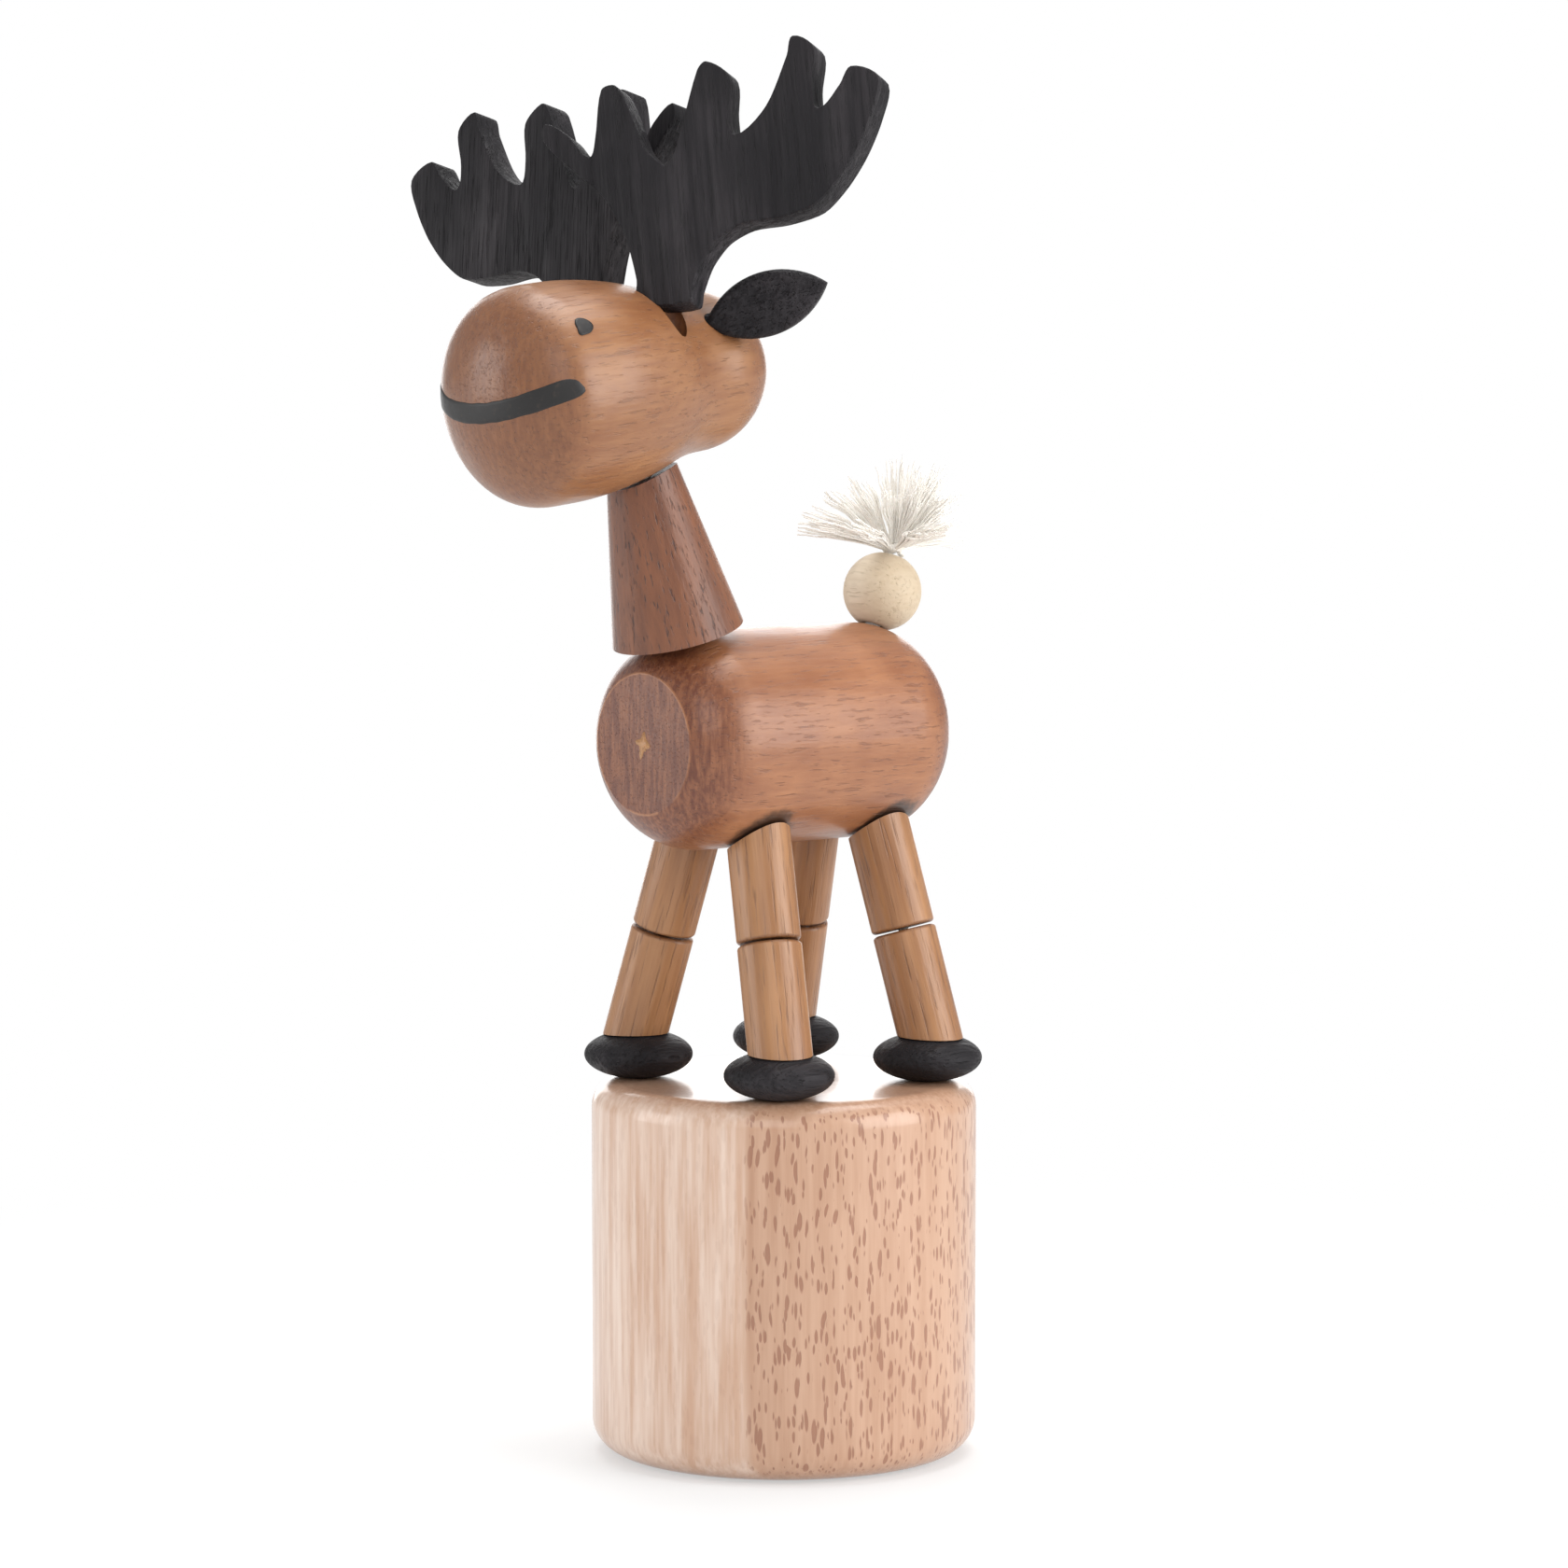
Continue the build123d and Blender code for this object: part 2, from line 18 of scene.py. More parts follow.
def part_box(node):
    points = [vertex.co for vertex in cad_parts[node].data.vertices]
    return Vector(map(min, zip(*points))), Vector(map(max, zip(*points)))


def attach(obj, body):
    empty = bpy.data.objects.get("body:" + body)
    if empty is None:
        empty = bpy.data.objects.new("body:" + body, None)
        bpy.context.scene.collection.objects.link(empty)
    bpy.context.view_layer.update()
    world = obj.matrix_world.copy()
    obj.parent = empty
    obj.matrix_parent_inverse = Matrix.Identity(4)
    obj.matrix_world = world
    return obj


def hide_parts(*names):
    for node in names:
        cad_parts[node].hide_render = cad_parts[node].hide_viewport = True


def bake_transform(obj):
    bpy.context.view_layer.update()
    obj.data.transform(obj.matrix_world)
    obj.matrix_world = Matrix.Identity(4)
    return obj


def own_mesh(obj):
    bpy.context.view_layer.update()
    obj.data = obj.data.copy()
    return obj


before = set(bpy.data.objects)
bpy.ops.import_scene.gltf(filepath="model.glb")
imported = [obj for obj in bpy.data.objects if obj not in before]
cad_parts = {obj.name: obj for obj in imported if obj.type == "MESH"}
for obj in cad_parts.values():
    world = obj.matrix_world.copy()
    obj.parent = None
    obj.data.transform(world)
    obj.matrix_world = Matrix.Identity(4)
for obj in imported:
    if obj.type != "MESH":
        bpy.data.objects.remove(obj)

LOG = logging.getLogger("push_puppet")
MM = 0.001
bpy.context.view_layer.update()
Colour = tuple[float, float, float]

# Places that the frame fixes
BASE_TOP = 34.0 * MM
RECESS_ROOF = 26.0 * MM
BODY_CENTRE = Vector((0.0, -1.2, 65.4)) * MM
HEAD_CENTRE = Vector((0.0, -29.025, 96.333)) * MM
NECK_SEAT = Vector((0.0, -12.667, 74.929)) * MM
NECK_TOP = Vector((0.0, -16.725, 89.079)) * MM
TAIL_SEAT = Vector((0.0, 10.903, 74.713)) * MM
TUFT_FOOT = Vector((0.0, 14.228, 83.152)) * MM
HEAD_PITCH = math.radians(6.5)
HEAD_ROLL = math.radians(8.0)
NECK_LEAN = math.radians(16.0)
TAIL_TILT = math.radians(21.5)
CRISP_ANGLE = math.radians(28.0)


def rgb(red: int, green: int, blue: int) -> Colour:
    """Linear colour of an 8-bit screen colour.

    Args:
        red: Red, 0 to 255.
        green: Green, 0 to 255.
        blue: Blue, 0 to 255.

    Returns:
        The three linear channels.
    """
    def channel(value: int) -> float:
        """One channel on the linear scale."""
        share = value / 255
        return share / 12.92 if share <= 0.04045 else ((share + 0.055) / 1.055) ** 2.4
    return channel(red), channel(green), channel(blue)


class Axis(Enum):
    """Which way a wood's grain runs, as the turn that brings it onto Z."""

    UPRIGHT = (0.0, 0.0, 0.0)
    FORE_AND_AFT = (math.pi / 2, 0.0, 0.0)


class Kind(Enum):
    """Sockets of a node group."""

    NUMBER = "NodeSocketFloat"
    COLOUR = "NodeSocketColor"
    VECTOR = "NodeSocketVector"
    SHAPE = "NodeSocketGeometry"
    COUNT = "NodeSocketInt"
    FINISH = "NodeSocketMaterial"


# Shader node groups that the finishes share


class Graph:
    """Small helper that adds and links nodes in a tree."""

    def __init__(self, tree: bpy.types.NodeTree) -> None:
        """Keep the tree.

        Args:
            tree: The shader or geometry tree to build in.
        """
        self.tree = tree

    def node(self, kind: str, **settings: object) -> bpy.types.Node:
        """Add a node.

        Args:
            kind: Blender's name of the node's type.
            **settings: Attributes of the node to set.

        Returns:
            The new node.
        """
        made = self.tree.nodes.new(kind)
        for name, value in settings.items():
            setattr(made, name, value)
        return made

    def link(self, source: bpy.types.NodeSocket, target: bpy.types.NodeSocket) -> None:
        """Join an output to an input."""
        self.tree.links.new(source, target)

    def put(self, value: object, target: bpy.types.NodeSocket) -> None:
        """Link a socket, or set a plain value, on an input."""
        if isinstance(value, bpy.types.NodeSocket):
            self.link(value, target)
        elif isinstance(value, tuple) and len(value) == 3 and target.type == "RGBA":
            target.default_value = (*value, 1.0)
        else:
            target.default_value = value

    def math(self, operation: str, first: object, second: object = 0.0, clamp: bool = False) -> bpy.types.NodeSocket:
        """Arithmetic on two numbers.

        Args:
            operation: Blender's name of the operation.
            first: A socket or a number.
            second: A socket or a number.
            clamp: Whether the result is kept between 0 and 1.

        Returns:
            The result's socket.
        """
        made = self.node("ShaderNodeMath", operation=operation, use_clamp=clamp)
        self.put(first, made.inputs[0])
        self.put(second, made.inputs[1])
        return made.outputs[0]

    def mix(self, share: object, low: object, high: object) -> bpy.types.NodeSocket:
        """Blend of two colours."""
        made = self.node("ShaderNodeMix", data_type="RGBA", clamp_factor=True)
        self.put(share, made.inputs["Factor"])
        self.put(low, made.inputs[6])
        self.put(high, made.inputs[7])
        return made.outputs[2]

    def ramp(self, value: object, start: float, end: float) -> bpy.types.NodeSocket:
        """Smooth step from 0 at start to 1 at end."""
        made = self.node("ShaderNodeMapRange", interpolation_type="SMOOTHSTEP")
        self.put(value, made.inputs["Value"])
        made.inputs["From Min"].default_value = start
        made.inputs["From Max"].default_value = end
        return made.outputs["Result"]

    def stretch(self, vector: object, scale: tuple[float, float, float], shift: object = None) -> bpy.types.NodeSocket:
        """Vector scaled by axis, after an optional shift."""
        source = vector
        if shift is not None:
            moved = self.node("ShaderNodeVectorMath", operation="ADD")
            self.put(source, moved.inputs[0])
            self.put(shift, moved.inputs[1])
            source = moved.outputs[0]
        made = self.node("ShaderNodeVectorMath", operation="MULTIPLY")
        self.put(source, made.inputs[0])
        made.inputs[1].default_value = scale
        return made.outputs[0]

    def noise(self, vector: object, scale: float, detail: float = 2.0, rough: float = 0.5) -> bpy.types.NodeSocket:
        """Fractal noise on a vector, from 0 to 1."""
        made = self.node("ShaderNodeTexNoise")
        self.put(vector, made.inputs["Vector"])
        made.inputs["Scale"].default_value = scale
        made.inputs["Detail"].default_value = detail
        made.inputs["Roughness"].default_value = rough
        return made.outputs["Fac"]


def new_group(name: str, inputs: dict[str, Kind], outputs: dict[str, Kind]) -> tuple[Graph, dict, dict]:
    """Start a shader node group.

    Args:
        name: The group's name.
        inputs: Its input sockets by name.
        outputs: Its output sockets by name.

    Returns:
        The graph, the inputs as sockets to read, and the outputs as sockets to fill.
    """
    tree = bpy.data.node_groups.new(name, "ShaderNodeTree")
    for label, kind in inputs.items():
        tree.interface.new_socket(label, in_out="INPUT", socket_type=kind.value)
    for label, kind in outputs.items():
        tree.interface.new_socket(label, in_out="OUTPUT", socket_type=kind.value)
    graph = Graph(tree)
    source = graph.node("NodeGroupInput")
    target = graph.node("NodeGroupOutput")
    return graph, {k: source.outputs[k] for k in inputs}, {k: target.inputs[k] for k in outputs}


def build_grain() -> bpy.types.NodeTree:
    """Long grain of wood along Z: growth bands, streaks and fine pores.

    Returns:
        The group, with Grain, Pores and Blotch from 0 to 1.
    """
    graph, given, made = new_group(
        "Wood grain",
        {"Vector": Kind.VECTOR, "Seed": Kind.VECTOR},
        {"Grain": Kind.NUMBER, "Pores": Kind.NUMBER, "Blotch": Kind.NUMBER},
    )
    long_way = graph.stretch(given["Vector"], (1.0, 1.0, 0.09), given["Seed"])
    fine_way = graph.stretch(given["Vector"], (1.0, 1.0, 0.045), given["Seed"])
    bands = graph.noise(long_way, 420.0, 3.0, 0.62)
    streaks = graph.noise(fine_way, 1500.0, 3.0, 0.6)
    both = graph.math("ADD", graph.math("MULTIPLY", bands, 0.55), graph.math("MULTIPLY", streaks, 0.45))
    graph.link(graph.ramp(both, 0.32, 0.68), made["Grain"])
    pores = graph.noise(fine_way, 3600.0, 2.0, 0.7)
    graph.link(graph.ramp(pores, 0.56, 0.7), made["Pores"])
    blotch = graph.noise(graph.stretch(given["Vector"], (1.0, 1.0, 0.6), given["Seed"]), 130.0, 3.0, 0.55)
    graph.link(graph.ramp(blotch, 0.3, 0.7), made["Blotch"])
    return graph.tree


def build_flecks() -> bpy.types.NodeTree:
    """Short dark flecks along Z, as the rays of beech cut across.

    Returns:
        The group, with Flecks from 0 to 1.
    """
    graph, given, made = new_group(
        "Ray flecks",
        {"Vector": Kind.VECTOR, "Seed": Kind.VECTOR},
        {"Flecks": Kind.NUMBER},
    )
    wander = graph.node("ShaderNodeTexNoise")
    graph.link(given["Vector"], wander.inputs["Vector"])
    wander.inputs["Scale"].default_value = 260.0
    drift = graph.node("ShaderNodeVectorMath", operation="SCALE")
    graph.link(wander.outputs["Color"], drift.inputs[0])
    drift.inputs["Scale"].default_value = 0.0006
    layers = []
    for width, length, size in ((0.62, 2.6, 0.5), (0.42, 1.7, 0.46), (0.5, 3.2, 0.4)):
        cells = graph.node("ShaderNodeTexVoronoi", voronoi_dimensions="3D", feature="F1")
        scale = (1 / (width * MM), 1 / (width * MM), 1 / (length * MM))
        moved = graph.node("ShaderNodeVectorMath", operation="ADD")
        graph.link(given["Vector"], moved.inputs[0])
        graph.link(drift.outputs[0], moved.inputs[1])
        graph.link(graph.stretch(moved.outputs[0], scale, given["Seed"]), cells.inputs["Vector"])
        cells.inputs["Scale"].default_value = 1.0
        split = graph.node("ShaderNodeSeparateColor")
        graph.link(cells.outputs["Color"], split.inputs[0])
        limit = graph.math("MULTIPLY", split.outputs[0], size)
        edge = graph.math("DIVIDE", graph.math("SUBTRACT", limit, cells.outputs["Distance"]), 0.1)
        layers.append(graph.math("ADD", edge, 0.0, clamp=True))
    both = graph.math("MAXIMUM", layers[0], layers[1])
    graph.link(graph.math("MAXIMUM", both, layers[2]), made["Flecks"])
    return graph.tree


GRAIN = build_grain()
FLECKS = build_flecks()


class Surface:
    """A material under construction, with its Principled shader."""

    def __init__(self, name: str) -> None:
        """Start a material.

        Args:
            name: The material's name.
        """
        self.material = bpy.data.materials.new(name)
        self.material.use_nodes = True
        self.graph = Graph(self.material.node_tree)
        self.shader = self.material.node_tree.nodes["Principled BSDF"]
        self.where = self.graph.node("ShaderNodeTexCoord")

    def placed(self, centre: Vector, turn: tuple[float, float, float]) -> bpy.types.NodeSocket:
        """Object coordinates around a centre, turned so that the grain runs along Z."""
        centred = self.graph.node("ShaderNodeVectorMath", operation="SUBTRACT")
        self.graph.link(self.where.outputs["Object"], centred.inputs[0])
        centred.inputs[1].default_value = centre
        mapping = self.graph.node("ShaderNodeMapping", vector_type="POINT")
        self.graph.link(centred.outputs[0], mapping.inputs["Vector"])
        mapping.inputs["Rotation"].default_value = turn
        return mapping.outputs[0]

    def group(self, tree: bpy.types.NodeTree, **values: object) -> bpy.types.Node:
        """Place a shared group with its own values."""
        made = self.graph.node("ShaderNodeGroup", node_tree=tree)
        for name, value in values.items():
            self.graph.put(value, made.inputs[name])
        return made

    def bump(self, height: object, depth: float) -> None:
        """Raise the surface by a height, with a real depth in metres."""
        made = self.graph.node("ShaderNodeBump")
        made.inputs["Distance"].default_value = depth
        made.inputs["Strength"].default_value = 1.0
        self.graph.put(height, made.inputs["Height"])
        self.graph.link(made.outputs[0], self.shader.inputs["Normal"])


@dataclass(frozen=True)
class StainedWood:
    """Close-grained wood, stained and lacquered.

    Its cut ends take up more stain, so they are darker than its long sides. Spots given to it get dark patches of
    painted shade.
    """

    name: str
    light: Colour
    dark: Colour
    end: Colour
    pore: Colour
    centre: Vector
    turn: tuple[float, float, float]
    seed: tuple[float, float, float] = (0.0, 0.0, 0.0)
    end_share: float = 0.9
    pore_share: float = 0.4
    gloss: float = 0.25
    roughness: float = 0.42
    worn_rim: float = 0.0
    draw_out: float = 1.0
    # Middles of patches of painted shade on the belly, over the leg tops.
    hip_shade_spots: tuple[Vector, ...] = ()

    def build(self) -> bpy.types.Material:
        """Make the material.

        Returns:
            The finished material.
        """
        made = Surface(self.name)
        graph = made.graph
        way = made.placed(self.centre, self.turn)
        drawn = graph.stretch(way, (1.0, 1.0, self.draw_out))
        grain = made.group(GRAIN, Vector=drawn, Seed=self.seed)
        normal = graph.node("ShaderNodeMapping", vector_type="NORMAL")
        graph.link(made.where.outputs["Normal"], normal.inputs["Vector"])
        normal.inputs["Rotation"].default_value = self.turn
        split = graph.node("ShaderNodeSeparateXYZ")
        graph.link(normal.outputs[0], split.inputs[0])
        cut = graph.ramp(graph.math("ABSOLUTE", split.outputs[2]), 0.06, 0.75)
        tone = graph.math("MULTIPLY", grain.outputs["Grain"], 0.62)
        tone = graph.math("ADD", tone, graph.math("MULTIPLY", grain.outputs["Blotch"], 0.38))
        side = graph.mix(tone, self.dark, self.light)
        end_noise = graph.noise(graph.stretch(way, (1.0, 0.12, 1.0)), 2600.0, 2.0, 0.6)
        end = graph.mix(graph.ramp(end_noise, 0.3, 0.75), self.end, self.dark)
        colour = graph.mix(graph.math("MULTIPLY", cut, self.end_share), side, end)
        pores = graph.math("MULTIPLY", grain.outputs["Pores"], self.pore_share)
        colour = graph.mix(pores, colour, self.pore)
        if self.worn_rim:
            colour = graph.mix(self.rim_wear(graph, way), colour, self.light)
        # Painted shade: dark ragged patches where the leg tops meet the belly.
        for spot in self.hip_shade_spots:
            colour = graph.mix(self.hip_shade(made, spot), colour, rgb(38, 26, 20))
        graph.link(colour, made.shader.inputs["Base Color"])
        rough = graph.math("ADD", graph.math("MULTIPLY", grain.outputs["Blotch"], 0.14), self.roughness - 0.07)
        graph.link(rough, made.shader.inputs["Roughness"])
        made.shader.inputs["Coat Weight"].default_value = self.gloss
        made.shader.inputs["Coat Roughness"].default_value = 0.22
        made.bump(graph.math("SUBTRACT", grain.outputs["Grain"], grain.outputs["Pores"]), 0.00004)
        return made.material


    def hip_shade(self, made: Surface, spot: Vector) -> bpy.types.NodeSocket:
        """Mask of painted shade: a dark ragged patch on the belly just over a leg's top.

        Args:
            made: The material under construction.
            spot: Middle of the shaded patch, by the cord hole's mouth over the leg's top.

        Returns:
            The mask, from 0 to 1.
        """
        graph = made.graph
        away = graph.node("ShaderNodeVectorMath", operation="DISTANCE")
        graph.link(made.where.outputs["Object"], away.inputs[0])
        away.inputs[1].default_value = spot
        ragged = graph.math("MULTIPLY", graph.noise(made.where.outputs["Object"], 700.0, 3.0, 0.6), 2.4 * MM)
        reach = graph.math("ADD", away.outputs["Value"], ragged)
        return graph.math("MULTIPLY", graph.ramp(reach, 4.9 * MM, 3.4 * MM), 0.85)

    def rim_wear(self, graph: Graph, way: bpy.types.NodeSocket) -> bpy.types.NodeSocket:
        """Mask of the thin bare line that wear leaves around a turned end's rim.

        Args:
            graph: The material's nodes.
            way: Its placed coordinates, with the turning axis along Z.

        Returns:
            The mask, from 0 to 1.
        """
        flat = graph.node("ShaderNodeVectorMath", operation="LENGTH")
        graph.link(graph.stretch(way, (1.0, 1.0, 0.0)), flat.inputs[0])
        off = graph.math("ABSOLUTE", graph.math("SUBTRACT", flat.outputs["Value"], self.worn_rim))
        line = graph.ramp(off, 0.16 * MM, 0.05 * MM)
        broken = graph.ramp(graph.noise(way, 190.0, 2.0), 0.42, 0.56)
        return graph.math("MULTIPLY", graph.math("MULTIPLY", line, broken), 0.75)


@dataclass(frozen=True)
class LacqueredBeech:
    """Bare beech under clear lacquer, flecked where its rays are cut across."""

    name: str = "beech"
    quarter: Colour = rgb(243, 229, 217)
    flat: Colour = rgb(196, 158, 132)
    deep: Colour = rgb(176, 134, 106)
    fleck: Colour = rgb(140, 90, 66)
    zone: float = 10.6 * MM

    def build(self) -> bpy.types.Material:
        """Make the material.

        Returns:
            The finished material.
        """
        made = Surface(self.name)
        graph = made.graph
        way = made.placed(Vector((0.0, 0.0, 0.0)), Axis.UPRIGHT.value)
        grain = made.group(GRAIN, Vector=way, Seed=(0.3, 0.1, 0.0))
        flecks = made.group(FLECKS, Vector=way, Seed=(0.0, 0.0, 0.0))
        split = graph.node("ShaderNodeSeparateXYZ")
        graph.link(way, split.inputs[0])
        wander = graph.noise(graph.stretch(way, (1.0, 1.0, 0.25)), 160.0, 2.0)
        edge = graph.math("ADD", graph.math("ABSOLUTE", split.outputs[0]), graph.math("MULTIPLY", wander, 1.6 * MM))
        cross = graph.ramp(edge, self.zone + 0.3 * MM, self.zone + 1.2 * MM)
        facing = graph.node("ShaderNodeSeparateXYZ")
        graph.link(made.where.outputs["Normal"], facing.inputs[0])
        top = graph.ramp(graph.math("ABSOLUTE", facing.outputs[2]), 0.5, 0.95)
        side_tone = graph.mix(grain.outputs["Grain"], self.deep, self.flat)
        flat_side = graph.mix(graph.math("MULTIPLY", grain.outputs["Blotch"], 0.5), side_tone, self.flat)
        pale = graph.mix(graph.math("MULTIPLY", grain.outputs["Grain"], 0.55), self.flat, self.quarter)
        colour = graph.mix(cross, pale, flat_side)
        mask = graph.math("MULTIPLY", flecks.outputs["Flecks"], graph.math("MAXIMUM", cross, 0.12))
        mask = graph.math("MULTIPLY", mask, graph.math("SUBTRACT", 1.0, top))
        colour = graph.mix(graph.math("MULTIPLY", mask, 0.72), colour, self.fleck)
        ends = graph.noise(way, 2400.0, 2.0, 0.6)
        cut = graph.mix(graph.ramp(ends, 0.35, 0.7), self.deep, self.flat)
        colour = graph.mix(graph.math("MULTIPLY", top, 0.8), colour, cut)
        graph.link(colour, made.shader.inputs["Base Color"])
        rough = graph.math("ADD", graph.math("MULTIPLY", grain.outputs["Blotch"], 0.12), 0.3)
        graph.link(rough, made.shader.inputs["Roughness"])
        made.shader.inputs["Coat Weight"].default_value = 0.45
        made.shader.inputs["Coat Roughness"].default_value = 0.14
        made.bump(graph.math("SUBTRACT", graph.math("MULTIPLY", grain.outputs["Grain"], 0.5), mask), 0.00003)
        return made.material


@dataclass(frozen=True)
class BlackWood:
    """Open-grained wood under thin matt black stain."""

    name: str
    centre: Vector
    turn: tuple[float, float, float]
    ink: Colour = rgb(27, 25, 28)
    worn: Colour = rgb(58, 54, 57)
    depth: float = 0.00018

    def build(self) -> bpy.types.Material:
        """Make the material.

        Returns:
            The finished material.
        """
        made = Surface(self.name)
        graph = made.graph
        way = made.placed(self.centre, self.turn)
        grain = made.group(GRAIN, Vector=way, Seed=(0.7, 0.2, 0.4))
        tone = graph.math("MULTIPLY", grain.outputs["Grain"], grain.outputs["Blotch"])
        graph.link(graph.mix(tone, self.ink, self.worn), made.shader.inputs["Base Color"])
        made.shader.inputs["Specular IOR Level"].default_value = 0.22
        rough = graph.math("SUBTRACT", 0.68, graph.math("MULTIPLY", grain.outputs["Grain"], 0.16))
        graph.link(rough, made.shader.inputs["Roughness"])
        height = graph.math("SUBTRACT", grain.outputs["Grain"], grain.outputs["Pores"])
        made.bump(height, self.depth)
        return made.material


@dataclass(frozen=True)
class Cotton:
    """Undyed cotton thread."""

    name: str
    light: Colour = rgb(254, 252, 248)
    dark: Colour = rgb(244, 238, 228)

    def build(self) -> bpy.types.Material:
        """Make the material.

        Returns:
            The finished material.
        """
        made = Surface(self.name)
        graph = made.graph
        fuzz = graph.noise(made.where.outputs["Object"], 5200.0, 3.0, 0.7)
        graph.link(graph.mix(graph.ramp(fuzz, 0.3, 0.7), self.dark, self.light), made.shader.inputs["Base Color"])
        made.shader.inputs["Roughness"].default_value = 0.9
        made.shader.inputs["Sheen Weight"].default_value = 0.35
        made.shader.inputs["Sheen Roughness"].default_value = 0.5
        made.bump(fuzz, 0.00005)
        return made.material


@dataclass(frozen=True)
class SpringWire:
    """Drawn steel wire with faint draw lines."""

    name: str = "spring_wire"
    steel: Colour = rgb(176, 177, 180)
    stain: Colour = rgb(120, 118, 116)

    def build(self) -> bpy.types.Material:
        """Make the material.

        Returns:
            The finished material.
        """
        made = Surface(self.name)
        graph = made.graph
        marks = graph.noise(made.where.outputs["Object"], 900.0, 4.0, 0.7)
        graph.link(graph.mix(graph.ramp(marks, 0.35, 0.7), self.stain, self.steel), made.shader.inputs["Base Color"])
        made.shader.inputs["Metallic"].default_value = 1.0
        graph.link(graph.math("ADD", graph.math("MULTIPLY", marks, 0.25), 0.2), made.shader.inputs["Roughness"])
        made.bump(marks, 0.00001)
        return made.material


@dataclass(frozen=True)
class BlackPaint:
    """Brushed black paint of the eyes and the mouth."""

    name: str = "face_paint"
    ink: Colour = rgb(27, 25, 25)
    thin: Colour = rgb(52, 44, 38)

    def build(self) -> bpy.types.Material:
        """Make the material.

        Returns:
            The finished material.
        """
        made = Surface(self.name)
        graph = made.graph
        brush = graph.noise(made.where.outputs["Object"], 1400.0, 3.0, 0.6)
        graph.link(graph.mix(graph.ramp(brush, 0.55, 0.8), self.ink, self.thin), made.shader.inputs["Base Color"])
        graph.link(graph.math("ADD", graph.math("MULTIPLY", brush, 0.2), 0.4), made.shader.inputs["Roughness"])
        made.bump(brush, 0.00002)
        return made.material


# Antler board's outline in millimetres: x away from the head, y up the board
ANTLER_OUTLINE = (
    (-2.4, -2.0), (-2.4, 0.0), (-3.2, 4.2), (-4.9, 8.0), (-7.7, 11.1), (-10.3, 14.4), (-9.9, 15.8),
    (-7.8, 14.3), (-6.0, 12.0), (-5.3, 13.6), (-4.4, 17.9), (-3.1, 18.1), (-2.1, 16.2), (-0.9, 12.2),
    (0.3, 10.5), (1.3, 9.9), (2.4, 11.8), (4.7, 17.9), (5.6, 18.6), (7.5, 17.0), (7.3, 13.6),
    (7.8, 11.4), (10.8, 13.4), (13.1, 17.6), (13.8, 19.3), (15.7, 17.8), (15.2, 14.4), (15.6, 12.3),
    (17.7, 14.0), (18.9, 15.5), (21.3, 14.1), (20.5, 11.1), (18.9, 8.1), (16.9, 5.6), (14.5, 3.7),
    (11.2, 3.2), (7.9, 3.3), (5.6, 2.5), (3.9, 0.8), (2.8, -1.4), (2.3, -2.8),
)


# Mesh helpers


def smooth_outline(points: list[Vector], steps: int) -> list[Vector]:
    """Closed curve through the points of an outline.

    Args:
        points: The outline's points, in order.
        steps: Parts that each span is cut into.

    Returns:
        Points of the curve, the outline's own among them.
    """
    found = []
    count = len(points)
    for index in range(count):
        before, start, end, after = (points[(index + shift) % count] for shift in (-1, 0, 1, 2))
        span = (end - start).length
        first = (end - before) / max((end - before).length, 1e-9) * span * 0.8
        last = (after - start) / max((after - start).length, 1e-9) * span * 0.8
        for step in range(steps):
            t = step / steps
            found.append(start * (2 * t**3 - 3 * t**2 + 1) + end * (3 * t**2 - 2 * t**3)
                         + first * (t**3 - 2 * t**2 + t) + last * (t**3 - t**2))
    return found


def mesh_piece(name: str, points: list, faces: list, material: bpy.types.Material) -> bpy.types.Object:
    """Smooth-shaded mesh object at the origin, with its faces turned outwards.

    Args:
        name: The piece's name.
        points: Its vertices, in metres.
        faces: Its faces as lists of vertex numbers.
        material: Its finish.

    Returns:
        The new object, linked to the scene.
    """
    mesh = bpy.data.meshes.new(name)
    mesh.from_pydata([tuple(p) for p in points], [], faces)
    shape = bmesh.new()
    shape.from_mesh(mesh)
    bmesh.ops.remove_doubles(shape, verts=shape.verts, dist=1e-7)
    bmesh.ops.recalc_face_normals(shape, faces=shape.faces)
    for face in shape.faces:
        face.smooth = True
    shape.to_mesh(mesh)
    shape.free()
    mesh.materials.append(material)
    made = bpy.data.objects.new(name, mesh)
    bpy.context.scene.collection.objects.link(made)
    return made


def skin_rings(rings: list[list[Vector]]) -> tuple[list[Vector], list[list[int]]]:
    """Closed skin over a row of rings of equal length.

    Args:
        rings: Rings of points, in order.

    Returns:
        Points and faces, with a fan over each end.
    """
    count = len(rings[0])
    points = [p for ring in rings for p in ring]
    faces = []
    for row in range(len(rings) - 1):
        for step in range(count):
            after = (step + 1) % count
            a, b = row * count, (row + 1) * count
            faces.append([a + step, a + after, b + after, b + step])
    for ring, first in ((rings[0], 0), (rings[-1], (len(rings) - 1) * count)):
        points.append(sum(ring, Vector()) / count)
        middle = len(points) - 1
        faces += [[middle, first + step, first + (step + 1) % count] for step in range(count)]
    return points, faces


def frames_along(path: list[Vector]) -> list[tuple[Vector, Vector]]:
    """Two cross directions at each point of a path, turned as little as possible.

    Args:
        path: Points of the path.

    Returns:
        A pair of unit vectors for each point.
    """
    found = []
    side = Vector((1.0, 0.0, 0.0))
    for index, _ in enumerate(path):
        ahead = path[min(index + 1, len(path) - 1)] - path[max(index - 1, 0)]
        ahead.normalize()
        side = side - ahead * side.dot(ahead)
        if side.length < 1e-6:
            side = ahead.orthogonal()
        side.normalize()
        found.append((side.copy(), ahead.cross(side)))
    return found


